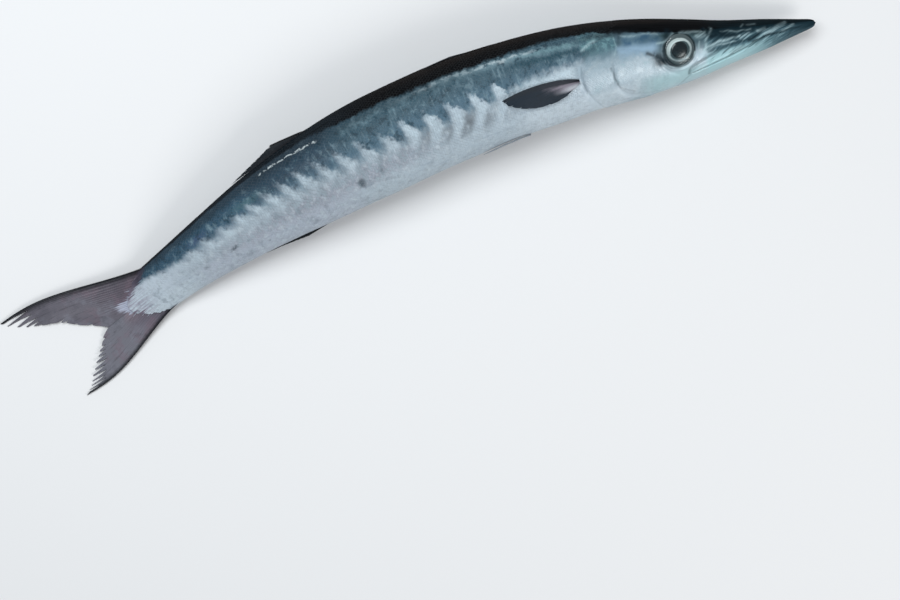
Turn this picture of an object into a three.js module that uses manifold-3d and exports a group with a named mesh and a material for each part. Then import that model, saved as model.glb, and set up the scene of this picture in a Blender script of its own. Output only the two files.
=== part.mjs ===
// A caught barracuda, life size, lying on its left side on a flat surface.
// Units are millimetres. +X runs towards the snout, +Y towards the back fins, +Z up, with z = 0 on the surface.
//
// Every piece is first made on a straight fish: x = -u, where u is the distance behind the snout tip,
// y = h, the height towards the back, and z = w, the distance to the fish's right side.
// toWorld() then bends, rolls and lowers that fish into the pose in which it lies.
import * as THREE from "three";
import { mergeVertices } from "three/addons/utils/BufferGeometryUtils.js";
import Module from "manifold-3d";

const wasm = await Module();
wasm.setup();

// Sizes of the whole fish
const BODY_LENGTH = 600; // snout tip to the root of the tail fin
const STALK_END = 628; // furthest reach of the scaly stalk between the tail's rays
const TAIL_REACH = 720; // snout tip to beyond the tips of the tail fin
const YAW = THREE.MathUtils.degToRad(-9.1); // lays the line from snout to tail along X
const ORIGIN = new THREE.Vector2(361, 2.65); // centres the footprint on the origin
const GAP = 0.3; // left between pieces that touch

// A smooth curve through [x, y] stations that never overshoots them, level beyond its ends.
function smooth(stations) {
  const last = stations.length - 1;
  const slope = (i) => (stations[i + 1][1] - stations[i][1]) / (stations[i + 1][0] - stations[i][0]);
  const tangents = stations.map((_, i) => {
    if (i === 0) return slope(0);
    if (i === last) return slope(last - 1);
    const before = slope(i - 1);
    const after = slope(i);
    return before * after <= 0 ? 0 : (2 * before * after) / (before + after);
  });
  return (x) => {
    if (x <= stations[0][0]) return stations[0][1];
    if (x >= stations[last][0]) return stations[last][1];
    const i = stations.findIndex((s) => s[0] > x) - 1;
    const width = stations[i + 1][0] - stations[i][0];
    const t = (x - stations[i][0]) / width;
    const fromLeft = stations[i][1] * (1 + 2 * t) + tangents[i] * width * t;
    const fromRight = stations[i + 1][1] * (3 - 2 * t) + tangents[i + 1] * width * (t - 1);
    return fromLeft * (1 - t) ** 2 + fromRight * t ** 2;
  };
}

// Full depth, back to belly, at each distance behind the snout tip
const depth = smooth([
  [0, 0], [1.5, 5], [5, 8], [12, 11], [44, 24.5], [76, 36], [108, 49.5], [138, 59.8], [171, 67], [234, 77],
  [270, 79], [310, 83], [369, 83], [406, 80], [480, 66], [547, 51], [571, 46.5], [600, 43.5], [628, 43],
]);
// Height of the section's middle over the straight line from snout to tail
const middle = smooth([[0, 0], [100, -1.7], [190, 1], [270, 0.8], [340, 0]]);
// Full width, side to side
const width = smooth([
  [0, 0], [1.5, 4.5], [5, 8], [12, 12], [44, 24], [76, 33.5], [108, 44.5], [138, 52.5], [171, 58],
  [202, 62], [300, 68], [369, 67], [406, 64], [480, 52], [547, 35], [571, 27], [592, 17.5], [612, 8.5], [628, 4.6],
]);
// How square the section is: 2 is an ellipse. The skull's roof is flatter than the throat.
const squareAbove = smooth([[0, 2], [60, 2.5], [150, 2.6], [260, 2.2], [600, 2.1]]);
const squareBelow = smooth([[0, 2], [60, 1.9], [180, 2], [300, 2.2], [600, 2.1]]);
// Height of the middle line over the surface: the gill cover, the flank and the tail touch down
const lineHeight = smooth([
  [0, 18], [76, 22.6], [138, 27.2], [175, 29.7], [202, 32.8], [234, 34.4], [255, 34.6], [300, 33.2],
  [369, 32.4], [406, 31], [442, 28.6], [480, 25], [547, 16.7], [592, 9.4], [612, 6.6], [640, 4.2], [680, 2],
  [712, 1],
]);
// The fish leans back a little, so that its back shows from above. The tail lies flat.
const rollDegrees = smooth([[0, 8], [430, 8], [600, 3], [712, 0]]);
const roll = (u) => THREE.MathUtils.degToRad(rollDegrees(u));

// The heading of the middle line, seen from above. The skull is straight, and the rest bends towards the belly.
const headingDegrees = smooth([[170, 0], [250, 6.2], [400, 17.2], [600, 28.6]]);
const heading = (u) => THREE.MathUtils.degToRad(headingDegrees(u));
// The points of the middle line, one a millimetre
const route = [new THREE.Vector2()];
for (let u = 0; u < TAIL_REACH; u++) {
  const back = new THREE.Vector2(-1, 0).rotateAround(new THREE.Vector2(), heading(u + 0.5));
  route.push(back.add(route[u]));
}

// The point of the lying fish for a point of the straight one.
function toWorld(point) {
  const u = THREE.MathUtils.clamp(-point.x, 0, TAIL_REACH - 1);
  const lean = roll(u);
  const outward = point.y * Math.cos(lean) - point.z * Math.sin(lean);
  const turn = heading(u);
  const plan = new THREE.Vector2(-outward * Math.sin(turn), outward * Math.cos(turn));
  plan.add(route[Math.floor(u)].clone().lerp(route[Math.floor(u) + 1], u % 1));
  plan.rotateAround(new THREE.Vector2(), YAW).add(ORIGIN);
  return new THREE.Vector3(plan.x, plan.y, lineHeight(u) + point.y * Math.sin(lean) + point.z * Math.cos(lean));
}

// A closed geometry as a solid that can be joined and cut, turned so that its faces look out, and back again.
function solidOf(geometry) {
  const bare = new THREE.BufferGeometry().setAttribute("position", geometry.getAttribute("position"));
  bare.setIndex(geometry.index);
  const merged = mergeVertices(bare, 1e-4);
  const vertProperties = new Float32Array(merged.attributes.position.array);
  const triVerts = new Uint32Array(merged.index.array);
  const made = new wasm.Manifold(new wasm.Mesh({ numProp: 3, vertProperties, triVerts }));
  if (made.volume() > 0) return made;
  return new wasm.Manifold(new wasm.Mesh({ numProp: 3, vertProperties, triVerts: triVerts.reverse() }));
}

function geometryOf(solid) {
  const mesh = solid.getMesh();
  const geometry = new THREE.BufferGeometry();
  geometry.setAttribute("position", new THREE.BufferAttribute(new Float32Array(mesh.vertProperties), 3));
  geometry.setIndex(new THREE.BufferAttribute(mesh.triVerts, 1));
  return geometry;
}

// The largest closed piece of a solid.
function largest(solid) {
  return solid.decompose().reduce((best, piece) => (piece.volume() > best.volume() ? piece : best));
}

// The body's section

// Half depth and half width at u, with the whole surface moved out by grow.
function halves(u, grow) {
  return { tall: Math.max(0.4, depth(u) / 2 + grow), wide: Math.max(0.4, width(u) / 2 + grow) };
}

// A point on the body's surface. Angle 0 is the right side, 90 degrees the back, 270 degrees the belly.
function onBody(u, angle, grow = 0) {
  const { tall, wide } = halves(u, grow);
  const power = 2 / (Math.sin(angle) >= 0 ? squareAbove(u) : squareBelow(u));
  const part = (value) => Math.sign(value) * Math.abs(value) ** power;
  return new THREE.Vector3(-u, middle(u) + tall * part(Math.sin(angle)), wide * part(Math.cos(angle)));
}

// The way that the surface faces there, across the body.
function facing(u, angle) {
  const { tall, wide } = halves(u, 0);
  const point = onBody(u, angle);
  const square = Math.sin(angle) >= 0 ? squareAbove(u) : squareBelow(u);
  const slope = (value, half) => (Math.sign(value) * Math.abs(value / half) ** (square - 1)) / half;
  return new THREE.Vector3(0, slope(point.y - middle(u), tall), slope(point.z, wide)).normalize();
}

// The flank is pressed flat where it rests: no point goes below the surface.
function rest(point) {
  const u = -point.x;
  const lean = roll(u);
  const lowest = -(lineHeight(u) + point.y * Math.sin(lean)) / Math.cos(lean);
  point.z = Math.max(point.z, lowest);
  return point;
}

const AROUND = 40;

// A closed length of the body between two distances behind the snout tip.
function bodyLength(from, to, step, grow = 0) {
  const count = Math.max(1, Math.round((to - from) / step));
  const stations = Array.from({ length: count + 1 }, (_, i) => from + ((to - from) * i) / count);
  return loft(stations, grow);
}

function loft(stations, grow) {
  const positions = [];
  const triangles = [];
  const corner = (ring, side) => ring * AROUND + (side % AROUND);
  for (const u of stations)
    for (let side = 0; side < AROUND; side++) {
      const point = rest(onBody(u, (side / AROUND) * 2 * Math.PI, grow));
      positions.push(point.x, point.y, point.z);
    }
  for (let ring = 0; ring < stations.length - 1; ring++)
    for (let side = 0; side < AROUND; side++) {
      const [a, b] = [corner(ring, side), corner(ring, side + 1)];
      const [c, d] = [corner(ring + 1, side + 1), corner(ring + 1, side)];
      triangles.push(a, b, c, a, c, d);
    }
  for (const [ring, front] of [[0, true], [stations.length - 1, false]]) {
    const hub = positions.length / 3;
    positions.push(-stations[ring], middle(stations[ring]), 0);
    for (let side = 0; side < AROUND; side++) {
      const [a, b] = [corner(ring, side), corner(ring, side + 1)];
      triangles.push(...(front ? [hub, b, a] : [hub, a, b]));
    }
  }
  const geometry = new THREE.BufferGeometry();
  geometry.setAttribute("position", new THREE.Float32BufferAttribute(positions, 3));
  geometry.setIndex(triangles);
  return solidOf(geometry);
}

// A straight-sided block over an outline of [u, h] corners, from w = low to w = high.
function block(outline, low, high) {
  const shape = new THREE.Shape(outline.map(([u, h]) => new THREE.Vector2(-u, h)));
  const geometry = new THREE.ExtrudeGeometry(shape, { depth: high - low, bevelEnabled: false });
  return solidOf(geometry.translate(0, 0, low));
}

// The same outline moved outwards by a distance.
function widen(outline, distance) {
  const clockwise = THREE.ShapeUtils.isClockWise(outline.map(([u, h]) => new THREE.Vector2(u, h)));
  const side = clockwise ? 1 : -1;
  return outline.map(([u, h], i) => {
    const before = outline.at(i - 1);
    const after = outline[(i + 1) % outline.length];
    const normals = [[before, [u, h]], [[u, h], after]].map(([p, q]) => {
      const along = new THREE.Vector2(q[0] - p[0], q[1] - p[1]).normalize();
      return new THREE.Vector2(-along.y * side, along.x * side);
    });
    const both = normals[0].clone().add(normals[1]);
    both.multiplyScalar(distance / Math.max(0.5, both.lengthSq() / 2));
    return [u + both.x, h + both.y];
  });
}

const FAR = 60; // clear of the body on every side

// The head

const HEAD_END = 192;
const EYE = { u: 122, angle: THREE.MathUtils.degToRad(9.5), radius: 12.4, thickness: 8, sunk: 5.6 };
// The line of the mouth, from the tip of the upper jaw to the corner
const MOUTH = [
  [5.5, 1.6], [16, 0.7], [33, 0.6], [45, -0.4], [54, -2.3], [64, -5.6], [76, -9], [90, -12], [104, -15], [112, -17],
];
const JAW_BACK = [[125, -28], [127, -FAR]];
// The upper edge of the plate that covers the upper jaw's side, from the corner forwards
const MAXILLA_TOP = [
  [115, -17], [114, -13], [108, -9.3], [99, -6], [90, -2.5], [79, -0.4], [66, 0.4], [57, 1.8], [46, 4],
];
// The cheek, as far back as the edge of the preopercle
const CHEEK = [
  [136, -8], [141, 4], [155, 12.5], [173, 15.5], [177, 4], [176.4, -11.5], [171.5, -19], [163.5, -23.5],
  [147, -26.5], [129, -26], [122, -17],
];
const GILL_COVER = [
  [178, 23], [186, 25], [196, 22.5], [202, 15], [204.5, 5], [203.5, -6], [200, -15], [193, -25],
  [182, -33.5], [164, -FAR], [145, -FAR], [140, -30.5], [164, -25.5], [173, -20], [178, -11.5],
];
const GILL_MIDLINE = 4; // the covers stop short of the throat's middle
const GILL_PROUD = 1;
const GILL_DEEP = 3;

const snoutStations = [0, 0.5, 1.5, 3, 5.5, 9, 14, 20, 27, 35];
const headStations = [...snoutStations];
for (let u = 43; u < HEAD_END; u += 6.5) headStations.push(u);
headStations.push(HEAD_END);
const headAt = (grow) => loft(headStations, grow);

const jawOutline = [[-5, FAR], [4.6, FAR], ...MOUTH, ...JAW_BACK, [-5, -FAR]];
const wholeHead = headAt(0);
const lowerLip = MOUTH.filter(([u]) => u > 20);
const lipOutline = [...lowerLip, ...lowerLip.map(([u, h]) => [u, h - 2.6]).reverse()];
const lowerJaw = wholeHead.intersect(block(jawOutline, -FAR, FAR));
const jawWithLip = lowerJaw.add(headAt(0.7).intersect(block(lipOutline, -FAR, FAR)));

// The plate starts behind the snout's tip and its lower edge is the upper lip.
const upperLip = MOUTH.filter(([u]) => u > 20).map(([u, h]) => [u, h + 0.5]);
const maxilla = headAt(0.8).intersect(block([...upperLip, ...MAXILLA_TOP], -FAR, FAR));
const cheek = headAt(0.7).intersect(block(CHEEK, -FAR, FAR));

// Places a geometry whose +Z faces out of the skin on one side of the head (side 1 is the right, -1 the left).
function onSkin(geometry, place, side, lift) {
  const normal = facing(place.u, place.angle);
  const point = onBody(place.u, place.angle).addScaledVector(normal, lift);
  geometry.applyQuaternion(new THREE.Quaternion().setFromUnitVectors(new THREE.Vector3(0, 0, 1), normal));
  geometry.translate(point.x, point.y, point.z);
  if (side > 0) return solidOf(geometry);
  return solidOf(geometry).mirror([0, 0, 1]);
}

function eyeBall(grow) {
  const ball = new THREE.SphereGeometry(1, 20, 10).rotateX(Math.PI / 2);
  return ball.scale(EYE.radius + grow, EYE.radius + grow, EYE.thickness + grow);
}

const eye = (side, grow) => onSkin(eyeBall(grow), EYE, side, -EYE.sunk);
const eyeRim = (side) => onSkin(new THREE.TorusGeometry(EYE.radius + 0.6, 1.5, 6, 26), EYE, side, -0.5);
const nostril = (side, u, degrees, radius) => {
  const place = { u, angle: THREE.MathUtils.degToRad(degrees) };
  return onSkin(new THREE.SphereGeometry(radius, 8, 6), place, side, 0);
};

const gillOutline = (side, grow) => {
  const [near, far] = [GILL_MIDLINE - grow, FAR];
  return side > 0 ? block(widen(GILL_COVER, grow), near, far) : block(widen(GILL_COVER, grow), -far, -near);
};
const gillStations = Array.from({ length: 13 }, (_, i) => 134 + 6.5 * i);
const gillCover = (side) => {
  const plate = loft(gillStations, GILL_PROUD).subtract(loft([110, ...gillStations, 230], -GILL_DEEP));
  return largest(plate.intersect(gillOutline(side, 0)));
};
const gillPocket = (side) => {
  const room = loft(gillStations, GILL_PROUD + 5).subtract(loft([110, ...gillStations, 230], -GILL_DEEP - GAP));
  return room.intersect(gillOutline(side, GAP));
};

function makeHead() {
  let head = wholeHead.subtract(block(widen(jawOutline, 0.45), -FAR, FAR));
  head = head.add(maxilla).add(cheek);
  for (const side of [1, -1]) {
    head = head.add(eyeRim(side)).subtract(eye(side, GAP)).subtract(gillPocket(side));
    head = head.subtract(nostril(side, 94, 46, 1.3)).subtract(nostril(side, 98.5, 47, 1.7));
  }
  return largest(head);
}

// The trunk, in lengths

const LENGTHS = { trunk_front: [HEAD_END, 298], trunk_middle: [298, 408], trunk_rear: [408, 510] };
const trunkLength = ([from, to]) => bodyLength(from + GAP, to, 15);

function makeShoulder() {
  const front = trunkLength(LENGTHS.trunk_front);
  return largest(front.subtract(gillPocket(1)).subtract(gillPocket(-1)));
}

// The stalk ends in a scaly curve that runs out between the tail's rays.
const stalkReach = (h) => 596 + 30 * (1 - (h / 21.5) ** 2);

function makeStalk() {
  const steps = 12;
  const half = 21.9;
  const heights = Array.from({ length: steps + 1 }, (_, i) => half - (2 * half * i) / steps);
  const curve = heights.map((h) => [stalkReach(h), h]);
  const outline = [[480, FAR], [stalkReach(half), FAR], ...curve, [stalkReach(half), -FAR], [480, -FAR]];
  const stalk = bodyLength(LENGTHS.trunk_rear[1] + GAP, STALK_END, 12);
  return largest(stalk.intersect(block(outline, -FAR, FAR)));
}

// Fins: a thin vane with its rays raised in both faces.
// centre(s, v) is the middle surface: s runs along a ray from its root (0) to its tip (1), and v across the rays from
// 0 to 1. across(s, v) is the way its faces look. Between two rays the edge is cut back by notch(v), a share of s.
function vane({ rays, rows, centre, across, thick, membrane = 0.6, notch = () => 0.06, taper = 0.45 }) {
  const columns = rays * 2;
  const positions = [];
  const triangles = [];
  for (const face of [1, -1])
    for (let row = 0; row <= rows; row++)
      for (let column = 0; column <= columns; column++) {
        const v = column / columns;
        const onRay = column % 2 === 1 || column === 0;
        const reach = onRay ? 1 : 1 - notch(v);
        const s = (row / rows) * reach;
        const full = onRay ? thick(s, v) : Math.max(membrane, thick(s, v) * 0.5);
        const half = Math.max(0.5, full * (1 - taper * s)) / 2;
        const point = centre(s, v).addScaledVector(across(s, v), face * half);
        positions.push(point.x, point.y, point.z);
      }
  const across1 = columns + 1;
  const faceSize = across1 * (rows + 1);
  const at = (face, row, column) => face * faceSize + row * across1 + column;
  for (let row = 0; row < rows; row++)
    for (let column = 0; column < columns; column++)
      for (const face of [0, 1]) {
        const [a, b] = [at(face, row, column), at(face, row, column + 1)];
        const [c, d] = [at(face, row + 1, column + 1), at(face, row + 1, column)];
        triangles.push(...(face ? [a, b, c, a, c, d] : [a, c, b, a, d, c]));
      }
  const wall = (a, b) => {
    const [c, d] = [b + faceSize, a + faceSize];
    triangles.push(a, b, c, a, c, d);
  };
  for (let column = 0; column < columns; column++) {
    wall(at(0, 0, column), at(0, 0, column + 1));
    wall(at(0, rows, column + 1), at(0, rows, column));
  }
  for (let row = 0; row < rows; row++) {
    wall(at(0, row + 1, 0), at(0, row, 0));
    wall(at(0, row, columns), at(0, row + 1, columns));
  }
  const geometry = new THREE.BufferGeometry();
  geometry.setAttribute("position", new THREE.Float32BufferAttribute(positions, 3));
  geometry.setIndex(triangles);
  return solidOf(geometry);
}

const SIDEWAYS = new THREE.Vector3(0, 0, 1);

// A lobe of the tail fin. The tips are [u behind the stalk's root, h] from the leading ray to the fork.
function tailLobe({ rays, side, tips, bow }) {
  const tipU = smooth(tips.map(([v, u]) => [v, u]));
  const tipH = smooth(tips.map(([v, , h]) => [v, h]));
  const centre = (s, v) => {
    const rootH = side * (21.2 - 20.8 * v);
    const root = [stalkReach(rootH) + GAP + 0.6, rootH];
    const tip = [BODY_LENGTH + tipU(v), tipH(v)];
    const swell = bow * side * (1 - v) * Math.sin(Math.PI * s ** 1.6);
    const u = root[0] + (tip[0] - root[0]) * s;
    return new THREE.Vector3(-u, root[1] + (tip[1] - root[1]) * s + swell, 0);
  };
  return vane({
    rays,
    rows: 12,
    centre,
    across: () => SIDEWAYS,
    thick: (s, v) => 1.3 + 1.9 * Math.exp(-s * 7) + 0.7 * Math.exp(-v * 12),
    notch: (v) => (v < 0.5 ? 0.16 - 0.1 * v : 0.12),
  });
}

const upperLobe = {
  rays: 10,
  side: 1,
  bow: 6.5,
  tips: [
    [0, 118, 60], [0.1, 116.5, 55], [0.2, 110.5, 48], [0.35, 98.5, 40.5], [0.5, 87, 33.5], [0.65, 75.5, 25.5],
    [0.8, 69, 17], [0.9, 60, 9.5], [1, 51, 1.5],
  ],
};
const lowerLobe = {
  rays: 9,
  side: -1,
  bow: 6,
  tips: [
    [0, 104.5, -32], [0.2, 97, -28], [0.4, 88, -21], [0.6, 76, -13.5], [0.8, 67, -8], [0.92, 60, -3], [1, 52, -0.8],
  ],
};

// A fin on the middle of the back (side 1) or belly (side -1), folded down so that its rays lie nearly along the
// body. Its rays stand on a low ridge and have their lengths at v = 0, 0.6 and 1. They rise by fold degrees, from the
// first ray to the last.
function foldedFin({ rays, side, from, to, lengths, fold, ridge }) {
  const rayLength = smooth([[0, lengths[0]], [0.6, lengths[1]], [1, lengths[2]]]);
  const centre = (s, v) => {
    const slope = THREE.MathUtils.degToRad(fold[0] + (fold[1] - fold[0]) * v);
    const reach = rayLength(v) * s;
    const u = from + (to - from) * v + reach * Math.cos(slope);
    const rise = GAP + reach * Math.sin(slope) + ridge * Math.min(1, reach / 8);
    return new THREE.Vector3(-u, middle(u) + side * (depth(u) / 2 + rise), 0);
  };
  return vane({ rays, rows: 6, centre, across: () => SIDEWAYS, thick: () => 1.4, notch: () => 0.12 });
}

// A paired fin laid back along the body's surface. Its root stands at one distance, over the angles in root, and its
// tips are [v, u, degrees]. The upper ray arches by bow degrees, the fin turns by sweep degrees on its way back, and
// its far end stands off the skin by lift.
function lyingFin({ rays, rows, u, root, tips, bow, sweep, lift }) {
  const tipU = smooth(tips.map(([v, tip]) => [v, tip]));
  const tipDegrees = smooth(tips.map(([v, , degrees]) => [v, degrees]));
  const place = (s, v) => {
    const start = root[0] + (root[1] - root[0]) * v;
    const degrees = start + (tipDegrees(v) - start + sweep) * s + bow * (1 - v) * 4 * s * (1 - s);
    return [u + (tipU(v) - u) * s, THREE.MathUtils.degToRad(degrees)];
  };
  const centre = (s, v) => {
    const [here, angle] = place(s, v);
    return onBody(here, angle).addScaledVector(facing(here, angle), 0.9 + GAP + lift * s * s);
  };
  const across = (s, v) => facing(...place(s, v));
  return vane({ rays, rows, centre, across, thick: (s) => 1.2 + 0.5 * Math.exp(-s * 8), notch: () => 0.08 });
}

const firstDorsal = { rays: 5, side: 1, from: 268, to: 311, lengths: [30, 22, 12], fold: [2.8, 2.4], ridge: 0.5 };
const secondDorsal = { rays: 10, side: 1, from: 418, to: 464, lengths: [33, 30, 30], fold: [11, 3.5], ridge: 0.6 };
const anal = { rays: 10, side: -1, from: 434, to: 478, lengths: [31, 27, 26], fold: [5, 2.5], ridge: 0.5 };

const mirrored = (solid) => solid.mirror([0, 0, 1]);
const pectoral = {
  rays: 8,
  rows: 8,
  u: 207.5,
  root: [-0.5, -5.5],
  tips: [
    [0, 272, 2], [0.15, 270, -2], [0.3, 264, -8], [0.5, 254, -14], [0.7, 243, -17.5], [0.85, 232, -18],
    [1, 221, -14.5],
  ],
  bow: 4.5,
};
const pelvic = {
  rays: 5,
  rows: 6,
  u: 255,
  root: [-69, -74],
  tips: [[0, 299, -67], [0.4, 290, -74], [0.75, 278, -79], [1, 270, -80]],
  bow: 1,
  sweep: 0,
  lift: 0.8,
};

// Finish of each kind of piece
const FINISH = {
  skin: { color: 0x9fb0ba, roughness: 0.32, metalness: 0.25 },
  jaw: { color: 0x6f8288, roughness: 0.35, metalness: 0.15 },
  fin: { color: 0x4d4750, roughness: 0.5, metalness: 0 },
  eye: { color: 0x15191c, roughness: 0.08, metalness: 0 },
};

const group = new THREE.Group();

function place(name, solid, finish) {
  const geometry = geometryOf(solid);
  const positions = geometry.attributes.position;
  const point = new THREE.Vector3();
  for (let i = 0; i < positions.count; i++) {
    const world = toWorld(point.fromBufferAttribute(positions, i));
    positions.setXYZ(i, world.x, world.y, Math.max(0, world.z));
  }
  geometry.computeVertexNormals();
  const mesh = new THREE.Mesh(geometry, new THREE.MeshStandardMaterial(FINISH[finish]));
  mesh.name = name;
  group.add(mesh);
}

place("head", makeHead(), "skin");
place("lower_jaw", largest(jawWithLip), "jaw");
place("eye_right", eye(1, 0), "eye");
place("eye_left", eye(-1, 0), "eye");
place("gill_cover_right", gillCover(1), "skin");
place("gill_cover_left", gillCover(-1), "skin");
place("trunk_front", makeShoulder(), "skin");
place("trunk_middle", trunkLength(LENGTHS.trunk_middle), "skin");
place("trunk_rear", trunkLength(LENGTHS.trunk_rear), "skin");
place("tail_stalk", makeStalk(), "skin");
place("tail_fin_upper", tailLobe(upperLobe), "fin");
place("tail_fin_lower", tailLobe(lowerLobe), "fin");
place("dorsal_fin_first", foldedFin(firstDorsal), "fin");
place("dorsal_fin_second", foldedFin(secondDorsal), "fin");
place("anal_fin", foldedFin(anal), "fin");
place("pectoral_fin_right", lyingFin({ ...pectoral, sweep: 0, lift: 2.2 }), "fin");
place("pectoral_fin_left", mirrored(lyingFin({ ...pectoral, sweep: -24, lift: 0.2 })), "fin");
place("pelvic_fin_right", lyingFin(pelvic), "fin");
place("pelvic_fin_left", mirrored(lyingFin(pelvic)), "fin");

export default group;
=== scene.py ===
import math

import bpy
import numpy as np
from mathutils import Matrix, Vector


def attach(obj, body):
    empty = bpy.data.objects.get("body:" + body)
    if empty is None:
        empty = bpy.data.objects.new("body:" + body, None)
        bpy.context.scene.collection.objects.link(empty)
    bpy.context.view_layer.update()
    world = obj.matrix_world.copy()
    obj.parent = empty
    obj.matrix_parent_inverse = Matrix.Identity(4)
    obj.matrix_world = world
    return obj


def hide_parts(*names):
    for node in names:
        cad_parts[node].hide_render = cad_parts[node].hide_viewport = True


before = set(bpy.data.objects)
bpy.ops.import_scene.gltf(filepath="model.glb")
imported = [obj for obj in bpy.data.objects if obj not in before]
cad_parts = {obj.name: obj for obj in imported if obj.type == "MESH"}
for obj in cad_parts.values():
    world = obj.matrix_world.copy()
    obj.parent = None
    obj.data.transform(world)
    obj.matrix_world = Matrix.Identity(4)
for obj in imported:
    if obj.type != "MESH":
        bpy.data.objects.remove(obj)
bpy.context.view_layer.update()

chance = np.random.default_rng(7)

# A caught barracuda, life size. Its sizes repeat those of the part's source: millimetres on a straight fish,
# with u behind the snout tip, h towards the back and w to the right side, then bent into the pose.
BODY_LENGTH = 600
STALK_START, STALK_END = 596, 628
TAIL_REACH = 720
YAW = math.radians(-9.1)
ORIGIN = (361, 2.65)


def smooth(stations):
    """A curve through the stations that never overshoots them, level beyond its ends."""
    xs, ys = np.array(stations, float).T
    slopes = np.diff(ys) / np.diff(xs)
    before, after = slopes[:-1], slopes[1:]
    same_way = before * after > 0
    inner = np.where(same_way, 2 * before * after / np.where(same_way, before + after, 1), 0)
    tangents = np.concatenate([slopes[:1], inner, slopes[-1:]])

    def at(x):
        x = np.clip(x, xs[0], xs[-1])
        i = np.clip(np.searchsorted(xs, x, side="right") - 1, 0, len(xs) - 2)
        span = xs[i + 1] - xs[i]
        t = (x - xs[i]) / span
        left = ys[i] * (1 + 2 * t) + tangents[i] * span * t
        right = ys[i + 1] * (3 - 2 * t) + tangents[i + 1] * span * (t - 1)
        return left * (1 - t) ** 2 + right * t ** 2

    return at


depth = smooth([(0, 0), (1.5, 5), (5, 8), (12, 11), (44, 24.5), (76, 36), (108, 49.5), (138, 59.8), (171, 67),
                (234, 77), (270, 79), (310, 83), (369, 83), (406, 80), (480, 66), (547, 51), (571, 46.5),
                (600, 43.5), (628, 43)])
middle = smooth([(0, 0), (100, -1.7), (190, 1), (270, 0.8), (340, 0)])
width = smooth([(0, 0), (1.5, 4.5), (5, 8), (12, 12), (44, 24), (76, 33.5), (108, 44.5), (138, 52.5), (171, 58),
                (202, 62), (300, 68), (369, 67), (406, 64), (480, 52), (547, 35), (571, 27), (592, 17.5), (612, 8.5),
                (628, 4.6)])
square_above = smooth([(0, 2), (60, 2.5), (150, 2.6), (260, 2.2), (600, 2.1)])
square_below = smooth([(0, 2), (60, 1.9), (180, 2), (300, 2.2), (600, 2.1)])
line_height = smooth([(0, 18), (76, 22.6), (138, 27.2), (175, 29.7), (202, 32.8), (234, 34.4), (255, 34.6),
                      (300, 33.2), (369, 32.4), (406, 31), (442, 28.6), (480, 25), (547, 16.7), (592, 9.4),
                      (612, 6.6), (640, 4.2), (680, 2), (712, 1)])
roll_degrees = smooth([(0, 8), (430, 8), (600, 3), (712, 0)])
heading_degrees = smooth([(170, 0), (250, 6.2), (400, 17.2), (600, 28.6)])
turn_at = np.radians(heading_degrees(np.arange(TAIL_REACH) + 0.5))
route = np.zeros((TAIL_REACH + 1, 2))
route[1:] = np.cumsum(np.stack([-np.cos(turn_at), -np.sin(turn_at)], 1), axis=0)


def to_world(points):
    """The lying fish's points, in metres, for points of the straight one."""
    u = np.clip(-points[..., 0], 0, TAIL_REACH - 1)
    lean, turn = np.radians(roll_degrees(u)), np.radians(heading_degrees(u))
    out = points[..., 1] * np.cos(lean) - points[..., 2] * np.sin(lean)
    before = np.floor(u).astype(int)
    part = (u - before)[..., None]
    plan = route[before] * (1 - part) + route[before + 1] * part
    x = plan[..., 0] - out * np.sin(turn)
    y = plan[..., 1] + out * np.cos(turn)
    cos, sin = math.cos(YAW), math.sin(YAW)
    z = line_height(u) + points[..., 1] * np.sin(lean) + points[..., 2] * np.cos(lean)
    world = np.stack([cos * x - sin * y + ORIGIN[0], sin * x + cos * y + ORIGIN[1], z], -1)
    return world / 1000


def halves(u):
    """Half the depth and half the width of the body."""
    return np.maximum(0.4, depth(u) / 2), np.maximum(0.4, width(u) / 2)


def squareness(u, above):
    return np.where(above, square_above(u), square_below(u))


def on_body(u, angle):
    """A point on the straight fish. Angle 0 is the right side, 90 degrees the back."""
    power = 2 / squareness(u, np.sin(angle) >= 0)

    def part(value):
        return np.sign(value) * np.abs(value) ** power

    tall, wide = halves(u)
    return np.stack([-u + 0 * angle, middle(u) + tall * part(np.sin(angle)), wide * part(np.cos(angle))], -1)


def facing(u, angle):
    """The way straight out of the skin."""
    square = squareness(u, np.sin(angle) >= 0)
    _, h, w = np.moveaxis(on_body(u, angle), -1, 0)

    def slope(value, half):
        return np.sign(value) * np.abs(value / half) ** (square - 1) / half

    tall, wide = halves(u)
    normal = np.stack([0 * h, slope(h - middle(u), tall), slope(w, wide)], -1)
    return normal / np.linalg.norm(normal, axis=-1, keepdims=True)


def surface(u, angle, lift):
    """A point at a height over the skin of the solids, in the pose. The flank is pressed flat on the floor."""
    points = on_body(u, angle) + facing(u, angle) * lift[..., None]
    lean = np.radians(roll_degrees(u))
    lowest = (np.maximum(0.03, -lift) - line_height(u) - points[..., 1] * np.sin(lean)) / np.cos(lean)
    points[..., 2] = np.maximum(points[..., 2], lowest)
    return to_world(points)


# Arc lengths round the body, in quarters: from the middle of the side to the back or the belly

PARTS = 180
QUARTER = np.radians(np.linspace(0, 90, PARTS + 1))
SHARES = np.linspace(0, 1, PARTS + 1)
ALONG = np.arange(0, TAIL_REACH + 1.0)


def quarter_tables(sign):
    points = on_body(ALONG[:, None], sign * QUARTER[None, :])
    steps = np.linalg.norm(np.diff(points[..., 1:], axis=1), axis=-1)
    lengths = np.concatenate([np.zeros((len(ALONG), 1)), np.cumsum(steps, axis=1)], axis=1)
    share = lengths / lengths[:, -1:]
    angle = np.stack([np.interp(SHARES, row, QUARTER) for row in share])
    return {"length": lengths[:, -1], "share": share, "angle": angle}


tables = {1: quarter_tables(1), -1: quarter_tables(-1)}


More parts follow.
